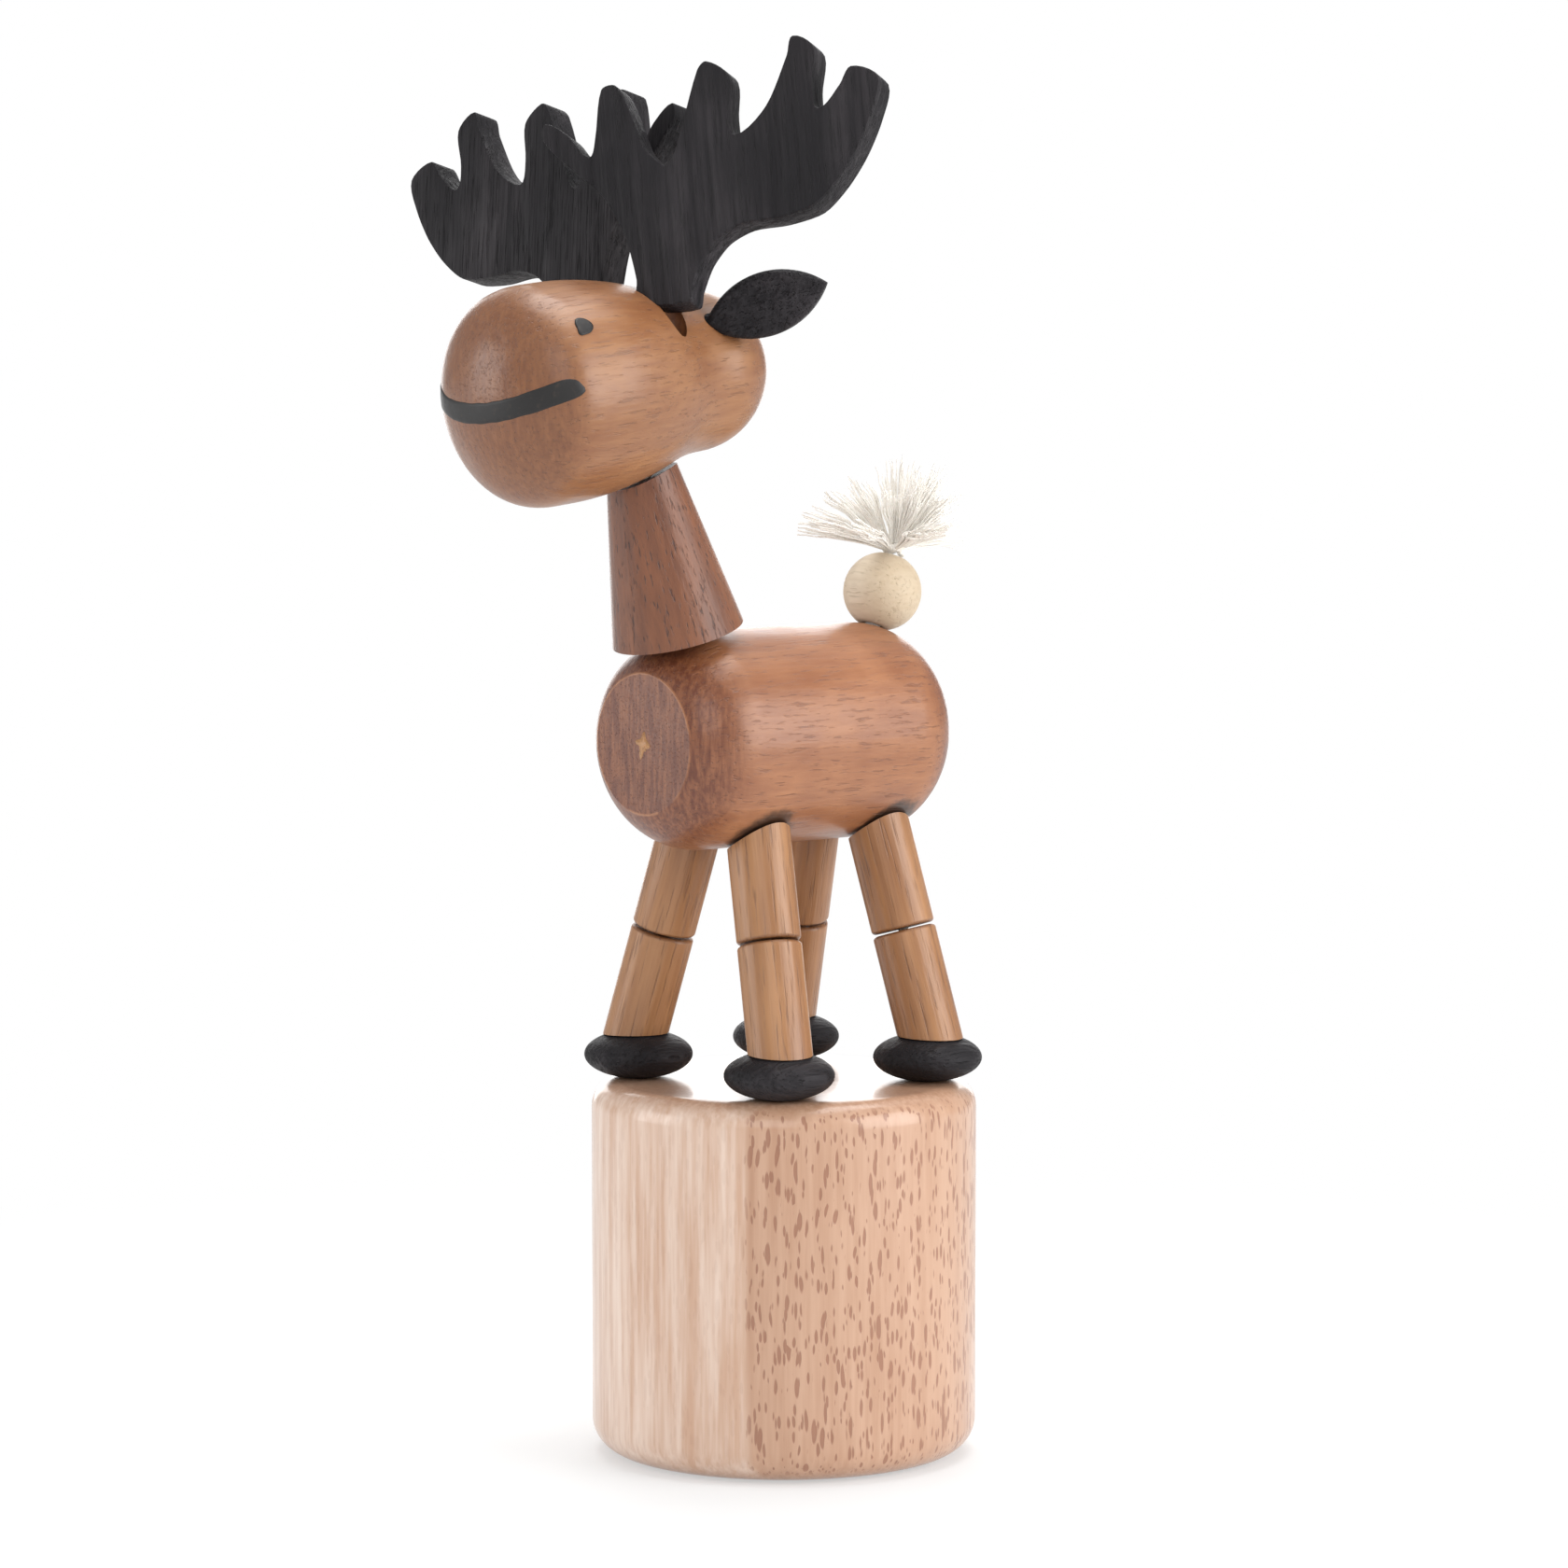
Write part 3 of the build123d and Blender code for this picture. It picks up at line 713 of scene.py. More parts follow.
def dress_node(name: str, material: bpy.types.Material) -> None:
    """Give a node of the frame a finish in place of its own, and shade its curves smooth.

    Args:
        name: The node.
        material: Its finish.
    """
    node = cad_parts[name]
    node.data.materials.clear()
    node.data.materials.append(material)
    node.data.polygons.foreach_set("use_smooth", [True] * len(node.data.polygons))
    joined = node.modifiers.new("joined facets", "WELD")
    joined.merge_threshold = 1e-6
    crisp = node.modifiers.new("crisp edges", "EDGE_SPLIT")
    crisp.split_angle = CRISP_ANGLE
    LOG.info("dressed %s", name)


def densify(points: list[Vector], step: float) -> list[Vector]:
    """Points of a chain of straight runs, a short step apart.

    Args:
        points: Corners of the chain.
        step: Longest distance between two points.

    Returns:
        The corners with points between them.
    """
    path = [points[0]]
    for start, end in zip(points, points[1:]):
        parts = max(1, math.ceil((end - start).length / step))
        path += [start.lerp(end, part / parts) for part in range(1, parts + 1)]
    return path


@dataclass
class Thread:
    """Laid cotton cord of a few strands along a path."""

    radius: float = 0.5 * MM
    strands: int = 3
    lay: float = 3.4 * MM
    sides: int = 24

    def make(self, name: str, corners: list[Vector], material: bpy.types.Material) -> bpy.types.Object:
        """Build the cord.

        Args:
            name: The piece's name.
            corners: Corners of its path.
            material: Its finish.

        Returns:
            The cord as a mesh.
        """
        path = densify(corners, 0.35 * MM)
        rings = []
        travelled = 0.0
        for index, (point, (side, other)) in enumerate(zip(path, frames_along(path))):
            if index:
                travelled += (point - path[index - 1]).length
            twist = 2 * math.pi * travelled / self.lay
            ring = []
            for step in range(self.sides):
                angle = 2 * math.pi * step / self.sides
                lobe = abs(math.cos(self.strands * (angle - twist) / 2))
                reach = self.radius * (0.74 + 0.26 * lobe)
                ring.append(point + (side * math.cos(angle) + other * math.sin(angle)) * reach)
            rings.append(ring)
        points, faces = skin_rings(rings)
        return mesh_piece(name, points, faces, material)


# Sub-assemblies


@dataclass
class Base:
    """Turned beech drum with its push button, pegs and spring."""

    spring_radius: float = 4.7 * MM
    wire: float = 0.8 * MM
    turns: float = 7.0
    button_top: float = 6.2 * MM
    wood: LacqueredBeech = field(default_factory=LacqueredBeech)

    def dress(self, pale: bpy.types.Material) -> None:
        """Finish the drum and the button.

        Args:
            pale: Finish of the pegs.
        """
        beech = self.wood.build()
        dress_node("base_housing", beech)
        dress_node("push_button", beech)
        dress_node("cord_pegs", pale)

    def spring_tree(self) -> bpy.types.NodeTree:
        """Geometry tree that winds the spring: a helix with flat closed ends, swept with round wire.

        Returns:
            The tree, with named inputs for its sizes.
        """
        tree = bpy.data.node_groups.new("Spring winding", "GeometryNodeTree")
        tree.interface.new_socket("Geometry", in_out="OUTPUT", socket_type=Kind.SHAPE.value)
        for label in ("Radius", "Height", "Turns", "Wire"):
            tree.interface.new_socket(label, in_out="INPUT", socket_type=Kind.NUMBER.value)
        tree.interface.new_socket("Finish", in_out="INPUT", socket_type=Kind.FINISH.value)
        graph = Graph(tree)
        given = graph.node("NodeGroupInput")
        result = graph.node("NodeGroupOutput")
        helix = graph.node("GeometryNodeCurveSpiral")
        helix.inputs["Resolution"].default_value = 40
        graph.link(given.outputs["Turns"], helix.inputs["Rotations"])
        graph.link(given.outputs["Radius"], helix.inputs["Start Radius"])
        graph.link(given.outputs["Radius"], helix.inputs["End Radius"])
        graph.link(given.outputs["Height"], helix.inputs["Height"])
        section = graph.node("GeometryNodeCurvePrimitiveCircle")
        section.inputs["Resolution"].default_value = 14
        graph.link(given.outputs["Wire"], section.inputs["Radius"])
        sweep = graph.node("GeometryNodeCurveToMesh")
        sweep.inputs["Fill Caps"].default_value = True
        graph.link(helix.outputs[0], sweep.inputs["Curve"])
        graph.link(section.outputs[0], sweep.inputs["Profile Curve"])
        smooth = graph.node("GeometryNodeSetShadeSmooth")
        graph.link(sweep.outputs[0], smooth.inputs["Geometry"])
        real = graph.node("GeometryNodeRealizeInstances")
        graph.link(smooth.outputs[0], real.inputs[0])
        finish = graph.node("GeometryNodeSetMaterial")
        graph.link(real.outputs[0], finish.inputs["Geometry"])
        graph.link(given.outputs["Finish"], finish.inputs["Material"])
        graph.link(finish.outputs[0], result.inputs[0])
        return tree

    def add_spring(self, steel: bpy.types.Material) -> bpy.types.Object:
        """Wind the return spring between the button and the roof of the recess.

        Args:
            steel: Finish of the wire.

        Returns:
            The spring, one plain mesh on the base at its rest length.
        """
        low = self.button_top + self.wire / 2 + 0.02 * MM
        high = RECESS_ROOF - self.wire / 2 - 0.02 * MM
        sizes = {"Radius": self.spring_radius, "Height": high - low, "Turns": self.turns,
                 "Wire": self.wire / 2, "Finish": steel}
        made = grown("return_spring_wire", self.spring_tree(), sizes, steel)
        made.data.transform(Matrix.Translation((0.0, 0.0, low)))
        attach(made, "base")
        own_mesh(made)
        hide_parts("return_spring")
        return made


def grown(name: str, tree: bpy.types.NodeTree, sizes: dict, material: bpy.types.Material) -> bpy.types.Object:
    """Plain mesh of a geometry tree's result.

    Args:
        name: The piece's name.
        tree: The geometry tree.
        sizes: Values of its inputs by name.
        material: Finish of the mesh.

    Returns:
        A new object that holds the result, with no modifier.
    """
    seed = bpy.data.objects.new(f"{name}_seed", bpy.data.meshes.new(f"{name}_seed"))
    bpy.context.scene.collection.objects.link(seed)
    modifier = seed.modifiers.new("growth", "NODES")
    modifier.node_group = tree
    for item in tree.interface.items_tree:
        if item.in_out == "INPUT" and item.name in sizes:
            modifier[item.identifier] = sizes[item.name]
    view = bpy.context.evaluated_depsgraph_get()
    mesh = bpy.data.meshes.new_from_object(seed.evaluated_get(view))
    bpy.data.objects.remove(seed)
    mesh.name = name
    mesh.materials.clear()
    mesh.materials.append(material)
    made = bpy.data.objects.new(name, mesh)
    bpy.context.scene.collection.objects.link(made)
    return made


@dataclass
class Leg:
    """Hoof, two beads and the cord of one leg."""

    name: str
    side: int
    end: int
    foot: float
    hip: float
    anchor_height: float = 1.3 * MM
    anchor_share: float = 0.72
    foot_side: float = 9.6 * MM
    hip_side: float = 4.8 * MM
    ankle_height: float = 38.9 * MM
    hip_height: float = 56.32 * MM

    def ankle_point(self) -> Vector:
        """Middle of the lower bead's foot."""
        return Vector((self.side * self.foot_side, self.end * self.foot, self.ankle_height))

    def hip_point(self) -> Vector:
        """Middle of the upper bead's top."""
        return Vector((self.side * self.hip_side, self.end * self.hip, self.hip_height))

    def way(self) -> Vector:
        """Direction up the leg."""
        return (self.hip_point() - self.ankle_point()).normalized()

    def turn(self) -> tuple[float, float, float]:
        """Turn that brings the leg onto Z."""
        return tuple(self.way().rotation_difference(Vector((0, 0, 1))).to_euler("XYZ"))

    def dress(self, black: bpy.types.Material) -> None:
        """Finish the hoof and both beads.

        Args:
            black: Finish of the hoof.
        """
        dress_node(f"hoof_{self.name}", black)
        for index, bead in enumerate(("lower", "upper")):
            wood = StainedWood(
                name=f"tan_{bead}_{self.name}",
                light=rgb(172, 124, 82),
                dark=rgb(136, 90, 54),
                end=rgb(112, 72, 42),
                pore=rgb(92, 56, 32),
                centre=self.ankle_point(),
                turn=self.turn(),
                seed=(0.11 * self.side + 0.5 * index, 0.23 * self.end, 0.31 * index),
                pore_share=0.5,
            )
            dress_node(f"{bead}_leg_{self.name}", wood.build())

    def add_cords(self, cotton: bpy.types.Material, seat: Vector) -> None:
        """String the cord through the leg, as a piece for each gap that opens.

        Args:
            cotton: Finish of the cord.
            seat: Where it leaves the body's bore.
        """
        thread = Thread()
        ankle, hip = self.ankle_point(), self.hip_point()
        anchor = Vector((ankle.x * self.anchor_share, ankle.y * self.anchor_share, self.anchor_height))
        knee = (ankle + hip) / 2
        foot = Vector((ankle.x, ankle.y, BASE_TOP))
        roof = Vector((anchor.x, anchor.y, RECESS_ROOF))
        inner = hip.lerp(seat, 0.3)
        tail = thread.make(f"cord_recess_{self.name}", [anchor, roof], cotton)
        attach(tail, "base")
        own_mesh(tail)
        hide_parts(f"leg_cord_{self.name}")
        hoof, lower, upper = (f"{bead}_{self.name}" for bead in ("hoof", "lower_leg", "upper_leg"))
        hoof_middle = foot.lerp(ankle, 0.5)
        low_middle = ankle.lerp(knee, 0.5)
        high_middle = knee.lerp(hip, 0.5)
        slack = 0.6 * MM
        rise = Vector((0, 0, slack))
        step = self.way() * slack
        spans = [("ankle", [hoof_middle, ankle, low_middle], hoof, lower, ankle - step, ankle + step),
                 ("knee", [low_middle, high_middle], lower, upper, knee - step, knee + step)]
        if self.end < 0:
            spans.append(("hoof", [roof, foot, hoof_middle], "base", hoof, foot - rise, foot + rise))
        if self.end > 0:
            spans.append(("hip", [high_middle, hip, inner], upper, "body", hip - step, hip + step))
        for gap, corners, first, second, start, end in spans:
            made = thread.make(f"cord_{gap}_{self.name}", corners, cotton)
            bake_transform(made)
        if self.end > 0:
            made = thread.make(f"cord_hole_{self.name}", [roof, foot, hoof_middle], cotton)
            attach(made, "base")
        else:
            made = thread.make(f"cord_hip_{self.name}", [high_middle, hip, hip.lerp(seat, 0.12)], cotton)
            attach(made, upper)


@dataclass
class Head:
    """Turned head with its face, antlers and ears."""

    nose: float = 6.8 * MM
    snout: float = 9.7 * MM
    paint_lift: float = 0.07 * MM
    mouth_half_width: float = 1.0 * MM
    eye_side: float = 7.55 * MM
    eye_rise: float = 6.24 * MM
    eye_radius: float = 0.86 * MM
    ear_turn: float = math.radians(80)
    antler_side: float = 5.8 * MM
    antler_reach: float = 12.7 * MM
    antler_stagger: float = 0.4 * MM
    antler_base: float = 8.0 * MM
    antler_sweep: float = 9.5
    antler_turn: float = 20.0
    antler_lean: float = 19.0
    antler_thickness: float = 3.0 * MM
    antler_edge: float = 0.22 * MM
    tree: BVHTree = field(init=False)

    def __post_init__(self) -> None:
        """Keep the head's skin, to lay the paint on."""
        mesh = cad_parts["head"].data
        self.tree = BVHTree.FromPolygons([v.co for v in mesh.vertices], [tuple(p.vertices) for p in mesh.polygons])

    def place(self) -> Matrix:
        """Head's own frame in the part's frame."""
        turn = Matrix.Rotation(HEAD_PITCH, 4, "X") @ Matrix.Rotation(-HEAD_ROLL, 4, "Y")
        return Matrix.Translation(HEAD_CENTRE) @ turn

    def on_wood(self, x: float, y: float, z: float, lift: float) -> Vector:
        """Point of the head's skin, lifted off the wood, in the part's frame.

        Args:
            x: Distance to the head's left, in its own frame.
            y: Distance behind the snout's widest ring.
            z: Height over the head's axis.
            lift: Distance off the wood.

        Returns:
            The skin's point nearest to the given one, lifted.
        """
        share = 1 / self.snout**2, (1 / self.nose**2 if y < 0 else 0.0)
        normal = Vector((x * share[0], y * share[1], z * share[0])).normalized()
        normal = self.place().to_3x3() @ normal
        skin, _, _, _ = self.tree.find_nearest(self.place() @ Vector((x, y, z)))
        return skin + normal * lift

    def nose_reach(self, x: float, z: float) -> float:
        """How far behind its widest ring the snout's skin lies over a point of its cross plane."""
        share = min(1.0, math.hypot(x, z) / self.snout)
        return -self.nose * math.sqrt(1 - share * share)

    def smile_height(self, x: float) -> float:
        """Height of the mouth's middle line at a distance to the side."""
        share = x / MM
        return (-0.65 - 0.124 * share + 0.0225 * share * share) * MM

    def add_mouth(self, paint: bpy.types.Material) -> bpy.types.Object:
        """Paint the mouth, a long smile around the snout with round ends.

        Args:
            paint: Its finish.

        Returns:
            The mouth as a thin raised band.
        """
        start, end, steps, across = -8.8 * MM, 9.3 * MM, 96, 10
        rows = []
        for step in range(steps + 1):
            x = start + (end - start) * step / steps
            slope = (self.smile_height(x + 1e-5) - self.smile_height(x - 1e-5)) / 2e-5
            along = min(step, steps - step) / steps * 2
            run = along * (end - start) / 2
            cap = self.mouth_half_width
            half = cap * math.sqrt(1 - max(0.0, 1 - run * 1.25 / cap) ** 2) if run * 1.25 < cap else cap
            half *= 1 + 0.07 * noise(Vector((x * 900, 0.3, 0.0)))
            cross = Vector((-slope, 1.0)).normalized()
            row = []
            for part in range(across + 1):
                reach = half * (2 * part / across - 1)
                rim = part in (0, across) or step in (0, steps)
                lift = -self.paint_lift if rim else self.paint_lift
                at_x, at_z = x + cross.x * reach, self.smile_height(x) + cross.y * reach
                row.append(self.on_wood(at_x, self.nose_reach(at_x, at_z), at_z, lift))
            rows.append(row)
        return self.band("mouth", rows, paint)

    def band(self, name: str, rows: list[list[Vector]], paint: bpy.types.Material) -> bpy.types.Object:
        """Closed thin patch from rows of points, backed inside the wood."""
        columns = len(rows[0])
        centre = HEAD_CENTRE + Vector((0.0, 2.0 * MM, 0.0))
        front = [p for row in rows for p in row]
        back = [p + (centre - p).normalized() * 0.35 * MM for p in front]
        faces = []
        total = len(front)
        for row in range(len(rows) - 1):
            for column in range(columns - 1):
                a = row * columns + column
                quad = [a, a + 1, a + columns + 1, a + columns]
                faces += [quad, [total + index for index in reversed(quad)]]
        rim = list(range(columns)) + [r * columns + columns - 1 for r in range(1, len(rows))]
        rim += [total - 1 - c for c in range(1, columns)] + [r * columns for r in range(len(rows) - 2, 0, -1)]
        for first, second in zip(rim, rim[1:] + rim[:1]):
            faces.append([first, second, total + second, total + first])
        made = mesh_piece(name, front + back, faces, paint)
        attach(made, "head")
        return made

    def add_eye(self, name: str, side: int, paint: bpy.types.Material) -> bpy.types.Object:
        """Paint an eye, a dot with a small point towards the snout.

        Args:
            name: The piece's name.
            side: 1 for the figure's left eye and -1 for its right.
            paint: Its finish.

        Returns:
            The eye as a thin raised patch.
        """
        rings, sides = 6, 40
        level = Vector((side * self.eye_side, 0.0, self.eye_rise))
        spot = Matrix.Rotation(HEAD_ROLL, 3, "Y") @ level
        spot.y = self.nose_reach(spot.x, spot.z)
        normal = Vector((spot.x / self.snout**2, spot.y / self.nose**2, spot.z / self.snout**2)).normalized()
        ahead = Vector((0, -1, 0)) - normal * Vector((0, -1, 0)).dot(normal)
        ahead.normalize()
        ahead = (ahead + normal.cross(ahead) * side * 0.9).normalized()
        across = normal.cross(ahead)
        points, faces = [self.on_wood(*spot, self.paint_lift)], []
        for ring in range(1, rings + 1):
            lift = -0.3 * MM if ring == rings else self.paint_lift
            spread = min(1.0, ring / (rings - 1))
            for step in range(sides):
                angle = 2 * math.pi * step / sides
                nib = 1 + 0.4 * max(0.0, math.cos(angle)) ** 16
                reach = self.eye_radius * spread * nib * (1 + 0.05 * math.sin(3 * angle + 0.7))
                flat = spot + (ahead * math.cos(angle) + across * math.sin(angle)) * reach
                points.append(self.on_wood(*flat, lift))
        for ring in range(rings):
            for step in range(sides):
                after = (step + 1) % sides
                if ring == 0:
                    faces.append([0, 1 + step, 1 + after])
                else:
                    a, b = 1 + (ring - 1) * sides, 1 + ring * sides
                    faces.append([a + step, b + step, b + after, a + after])
        last = 1 + (rings - 1) * sides
        points.append(self.on_wood(*spot, -0.4 * MM))
        faces += [[len(points) - 1, last + (step + 1) % sides, last + step] for step in range(sides)]
        made = mesh_piece(name, points, faces, paint)
        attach(made, "head")
        return made

    def antler_place(self, side: int) -> Matrix:
        """Frame of an antler board: x outwards, y up the board, z through it."""
        sweep = math.radians(self.antler_sweep + side * self.antler_turn)
        lean = math.radians(self.antler_lean)
        out = Vector((side * math.cos(sweep), math.sin(sweep), 0.0))
        up = Vector((0.0, math.sin(lean), math.cos(lean)))
        through = out.cross(up).normalized()
        up = through.cross(out)
        turn = Matrix((out, up, through)).transposed().to_4x4()
        seat = Vector((side * self.antler_side, self.antler_reach - side * self.antler_stagger, self.antler_base))
        return self.place() @ Matrix.Translation(seat) @ turn

    def add_antler(self, name: str, side: int) -> bpy.types.Object:
        """Saw an antler out of flat board, with five blunt tines and worn edges.

        Args:
            name: The piece's name, that of the node that it replaces.
            side: 1 for the figure's left antler and -1 for its right.

        Returns:
            The antler.
        """
        outline = smooth_outline([Vector((x, y)) * MM for x, y in ANTLER_OUTLINE], 5)
        half = self.antler_thickness / 2
        place = self.antler_place(side)
        shape = bmesh.new()
        rim = [shape.verts.new((p.x, p.y, -half)) for p in outline]
        board = shape.faces.new(rim)
        grown_up = bmesh.ops.extrude_face_region(shape, geom=[board])
        top = [item for item in grown_up["geom"] if isinstance(item, bmesh.types.BMVert)]
        bmesh.ops.translate(shape, vec=(0, 0, 2 * half), verts=top)
        bmesh.ops.recalc_face_normals(shape, faces=shape.faces)
        sharp = [e for e in shape.edges if e.calc_face_angle(0.0) > 1.2 and abs(e.verts[0].co.z - e.verts[1].co.z) < 1e-6]
        bmesh.ops.bevel(shape, geom=sharp, offset=self.antler_edge, segments=2, profile=0.6, affect="EDGES")
        bmesh.ops.triangulate(shape, faces=[f for f in shape.faces if len(f.verts) > 4])
        shape.transform(place)
        bmesh.ops.recalc_face_normals(shape, faces=shape.faces)
        for face in shape.faces:
            face.smooth = True
        mesh = bpy.data.meshes.new(f"{name}_board")
        shape.to_mesh(mesh)
        shape.free()
        mesh.set_sharp_from_angle(angle=math.radians(35))
        up = place.to_3x3() @ Vector((0, 1, 0))
        turn = tuple(up.rotation_difference(Vector((0, 0, 1))).to_euler("XYZ"))
        mesh.materials.append(BlackWood(name=f"black_{name}", centre=place.translation, turn=turn).build())
        made = bpy.data.objects.new(f"{name}_board", mesh)
        bpy.context.scene.collection.objects.link(made)
        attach(made, "head")
        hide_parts(name)
        return made

    def dress(self) -> None:
        """Finish the head's wood, its antlers and its ears."""
        turn = Matrix.Rotation(HEAD_PITCH, 3, "X").inverted()
        grain = (Matrix.Rotation(math.pi / 2, 3, "X") @ turn).to_euler("XYZ")
        wood = StainedWood(
            name="brown_head",
            draw_out=2.2,
            light=rgb(158, 110, 70),
            dark=rgb(129, 81, 49),
            end=rgb(106, 61, 37),
            pore=rgb(86, 52, 33),
            centre=HEAD_CENTRE,
            turn=tuple(grain),
            seed=(0.2, 0.9, 0.3),
            end_share=0.75,
            pore_share=0.3,
            gloss=0.28,
        )
        dress_node("head", wood.build())
        for side, name in ((1, "left"), (-1, "right")):
            turn = (0.0, -side * self.ear_turn, 0.0)
            wood = BlackWood(name=f"black_ear_{name}", centre=HEAD_CENTRE, turn=turn)
            dress_node(f"ear_{name}", wood.build())
            LOG.info("made %s", self.add_antler(f"antler_{name}", side).name)


@dataclass
class Tail:
    """Plain ball, knot and frayed tuft."""

    locks: int = 58
    strands_in_lock: int = 13
    length: float = 9.9 * MM
    thickness: float = 0.068 * MM
    seed: int = 7

    knot_height: float = 2.2 * MM

    def knot_middle(self) -> Vector:
        """Middle of the knot."""
        return TUFT_FOOT - self.way() * self.knot_height / 2

    def way(self) -> Vector:
        """Direction up the tail."""
        return Vector((0.0, math.sin(TAIL_TILT), math.cos(TAIL_TILT)))

    def tuft_tree(self) -> bpy.types.NodeTree:
        """Geometry tree of the tuft: curled strands fanned out from one point.

        Returns:
            The tree, with named inputs for its sizes.
        """
        tree = bpy.data.node_groups.new("Frayed tuft", "GeometryNodeTree")
        tree.interface.new_socket("Geometry", in_out="OUTPUT", socket_type=Kind.SHAPE.value)
        for label in ("Locks", "Strands", "Seed"):
            tree.interface.new_socket(label, in_out="INPUT", socket_type=Kind.COUNT.value)
        for label in ("Length", "Thickness", "Spread", "Curl", "Droop"):
            tree.interface.new_socket(label, in_out="INPUT", socket_type=Kind.NUMBER.value)
        tree.interface.new_socket("Finish", in_out="INPUT", socket_type=Kind.FINISH.value)
        graph = Graph(tree)
        given = graph.node("NodeGroupInput")
        result = graph.node("NodeGroupOutput")
        roots = graph.node("GeometryNodeMeshLine")
        graph.link(graph.math("MULTIPLY", given.outputs["Locks"], given.outputs["Strands"]), roots.inputs["Count"])
        roots.inputs["Offset"].default_value = (0.0, 0.0, 0.0)
        strand = graph.node("GeometryNodeCurvePrimitiveLine")
        strand.inputs["End"].default_value = (0.0, 0.0, 1.0)
        fine = graph.node("GeometryNodeResampleCurve")
        fine.inputs["Count"].default_value = 11
        graph.link(strand.outputs[0], fine.inputs["Curve"])
        number = graph.node("GeometryNodeInputIndex").outputs[0]
        lock = graph.math("FLOOR", graph.math("DIVIDE", number, given.outputs["Strands"]))

        def chance(low: tuple, high: tuple, which: bpy.types.NodeSocket, shift: int) -> bpy.types.NodeSocket:
            """Random vector for each strand or lock."""
            dice = graph.node("FunctionNodeRandomValue", data_type="FLOAT_VECTOR")
            dice.inputs[0].default_value = low
            dice.inputs[1].default_value = high
            graph.link(which, dice.inputs["ID"])
            graph.link(graph.math("ADD", given.outputs["Seed"], float(shift)), dice.inputs["Seed"])
            return dice.outputs[0]

        main_way = chance((0.0, 0.0, 0.0), (1.0, 0.0, 2 * math.pi), lock, 0)
        stray = chance((-0.07, 0.0, -0.1), (0.07, 0.0, 0.1), number, 5)
        spin = graph.node("ShaderNodeVectorMath", operation="ADD")
        graph.link(main_way, spin.inputs[0])
        graph.link(stray, spin.inputs[1])
        spin = spin.outputs[0]
        parts = graph.node("ShaderNodeSeparateXYZ")
        graph.link(spin, parts.inputs[0])
        tilt = graph.math("MULTIPLY", graph.math("POWER", parts.outputs[0], 0.72), given.outputs["Spread"])
        turn = graph.node("ShaderNodeCombineXYZ")
        graph.link(tilt, turn.inputs[0])
        graph.link(parts.outputs[2], turn.inputs[2])
        sized = graph.node("ShaderNodeSeparateXYZ")
        graph.link(chance((0.7, 0.9, 0.0), (1.06, 1.06, 0.0), lock, 3), sized.inputs[0])
        strand_size = graph.node("ShaderNodeSeparateXYZ")
        graph.link(chance((0.7, 0.0, 0.0), (1.0, 0.0, 0.0), number, 4), strand_size.inputs[0])
        long_way = graph.math("MULTIPLY", graph.math("MULTIPLY", sized.outputs[0], strand_size.outputs[0]),
                              given.outputs["Length"])
        scale = graph.node("ShaderNodeCombineXYZ")
        for index in range(3):
            graph.link(long_way, scale.inputs[index])
        placed = graph.node("GeometryNodeInstanceOnPoints")
        graph.link(roots.outputs[0], placed.inputs["Points"])
        graph.link(fine.outputs[0], placed.inputs["Instance"])
        graph.link(turn.outputs[0], placed.inputs["Rotation"])
        graph.link(scale.outputs[0], placed.inputs["Scale"])
        real = graph.node("GeometryNodeRealizeInstances")
        graph.link(placed.outputs[0], real.inputs[0])

        where = graph.node("GeometryNodeInputPosition")
        along = graph.node("GeometryNodeSplineParameter")
        wobble = graph.node("ShaderNodeTexNoise")
        graph.link(where.outputs[0], wobble.inputs["Vector"])
        wobble.inputs["Scale"].default_value = 420.0
        wobble.inputs["Detail"].default_value = 1.0
        centred = graph.node("ShaderNodeVectorMath", operation="SUBTRACT")
        graph.link(wobble.outputs["Color"], centred.inputs[0])
        centred.inputs[1].default_value = (0.5, 0.5, 0.5)
        amount = graph.math("MULTIPLY", graph.math("POWER", along.outputs["Factor"], 1.3), given.outputs["Curl"])
        curl = graph.node("ShaderNodeVectorMath", operation="SCALE")
        graph.link(centred.outputs[0], curl.inputs[0])
        graph.link(amount, curl.inputs["Scale"])
        flat = graph.node("ShaderNodeVectorMath", operation="MULTIPLY")
        graph.link(where.outputs[0], flat.inputs[0])
        flat.inputs[1].default_value = (1.0, 1.0, 0.0)
        out = graph.node("ShaderNodeVectorMath", operation="LENGTH")
        graph.link(flat.outputs[0], out.inputs[0])
        drop = graph.math("MULTIPLY", graph.math("MULTIPLY", out.outputs["Value"], out.outputs["Value"]),
                          given.outputs["Droop"])
        fall = graph.node("ShaderNodeCombineXYZ")
        graph.link(graph.math("MULTIPLY", drop, -1.0), fall.inputs[2])
        both = graph.node("ShaderNodeVectorMath", operation="ADD")
        graph.link(curl.outputs[0], both.inputs[0])
        graph.link(fall.outputs[0], both.inputs[1])
        bent = graph.node("GeometryNodeSetPosition")
        graph.link(real.outputs[0], bent.inputs["Geometry"])
        graph.link(both.outputs[0], bent.inputs["Offset"])
        section = graph.node("GeometryNodeCurvePrimitiveCircle")
        section.inputs["Resolution"].default_value = 4
        graph.link(given.outputs["Thickness"], section.inputs["Radius"])
        sweep = graph.node("GeometryNodeCurveToMesh")
        sweep.inputs["Fill Caps"].default_value = True
        graph.link(bent.outputs[0], sweep.inputs["Curve"])
        graph.link(section.outputs[0], sweep.inputs["Profile Curve"])
        solid = graph.node("GeometryNodeRealizeInstances")
        graph.link(sweep.outputs[0], solid.inputs[0])
        finish = graph.node("GeometryNodeSetMaterial")
        graph.link(solid.outputs[0], finish.inputs["Geometry"])
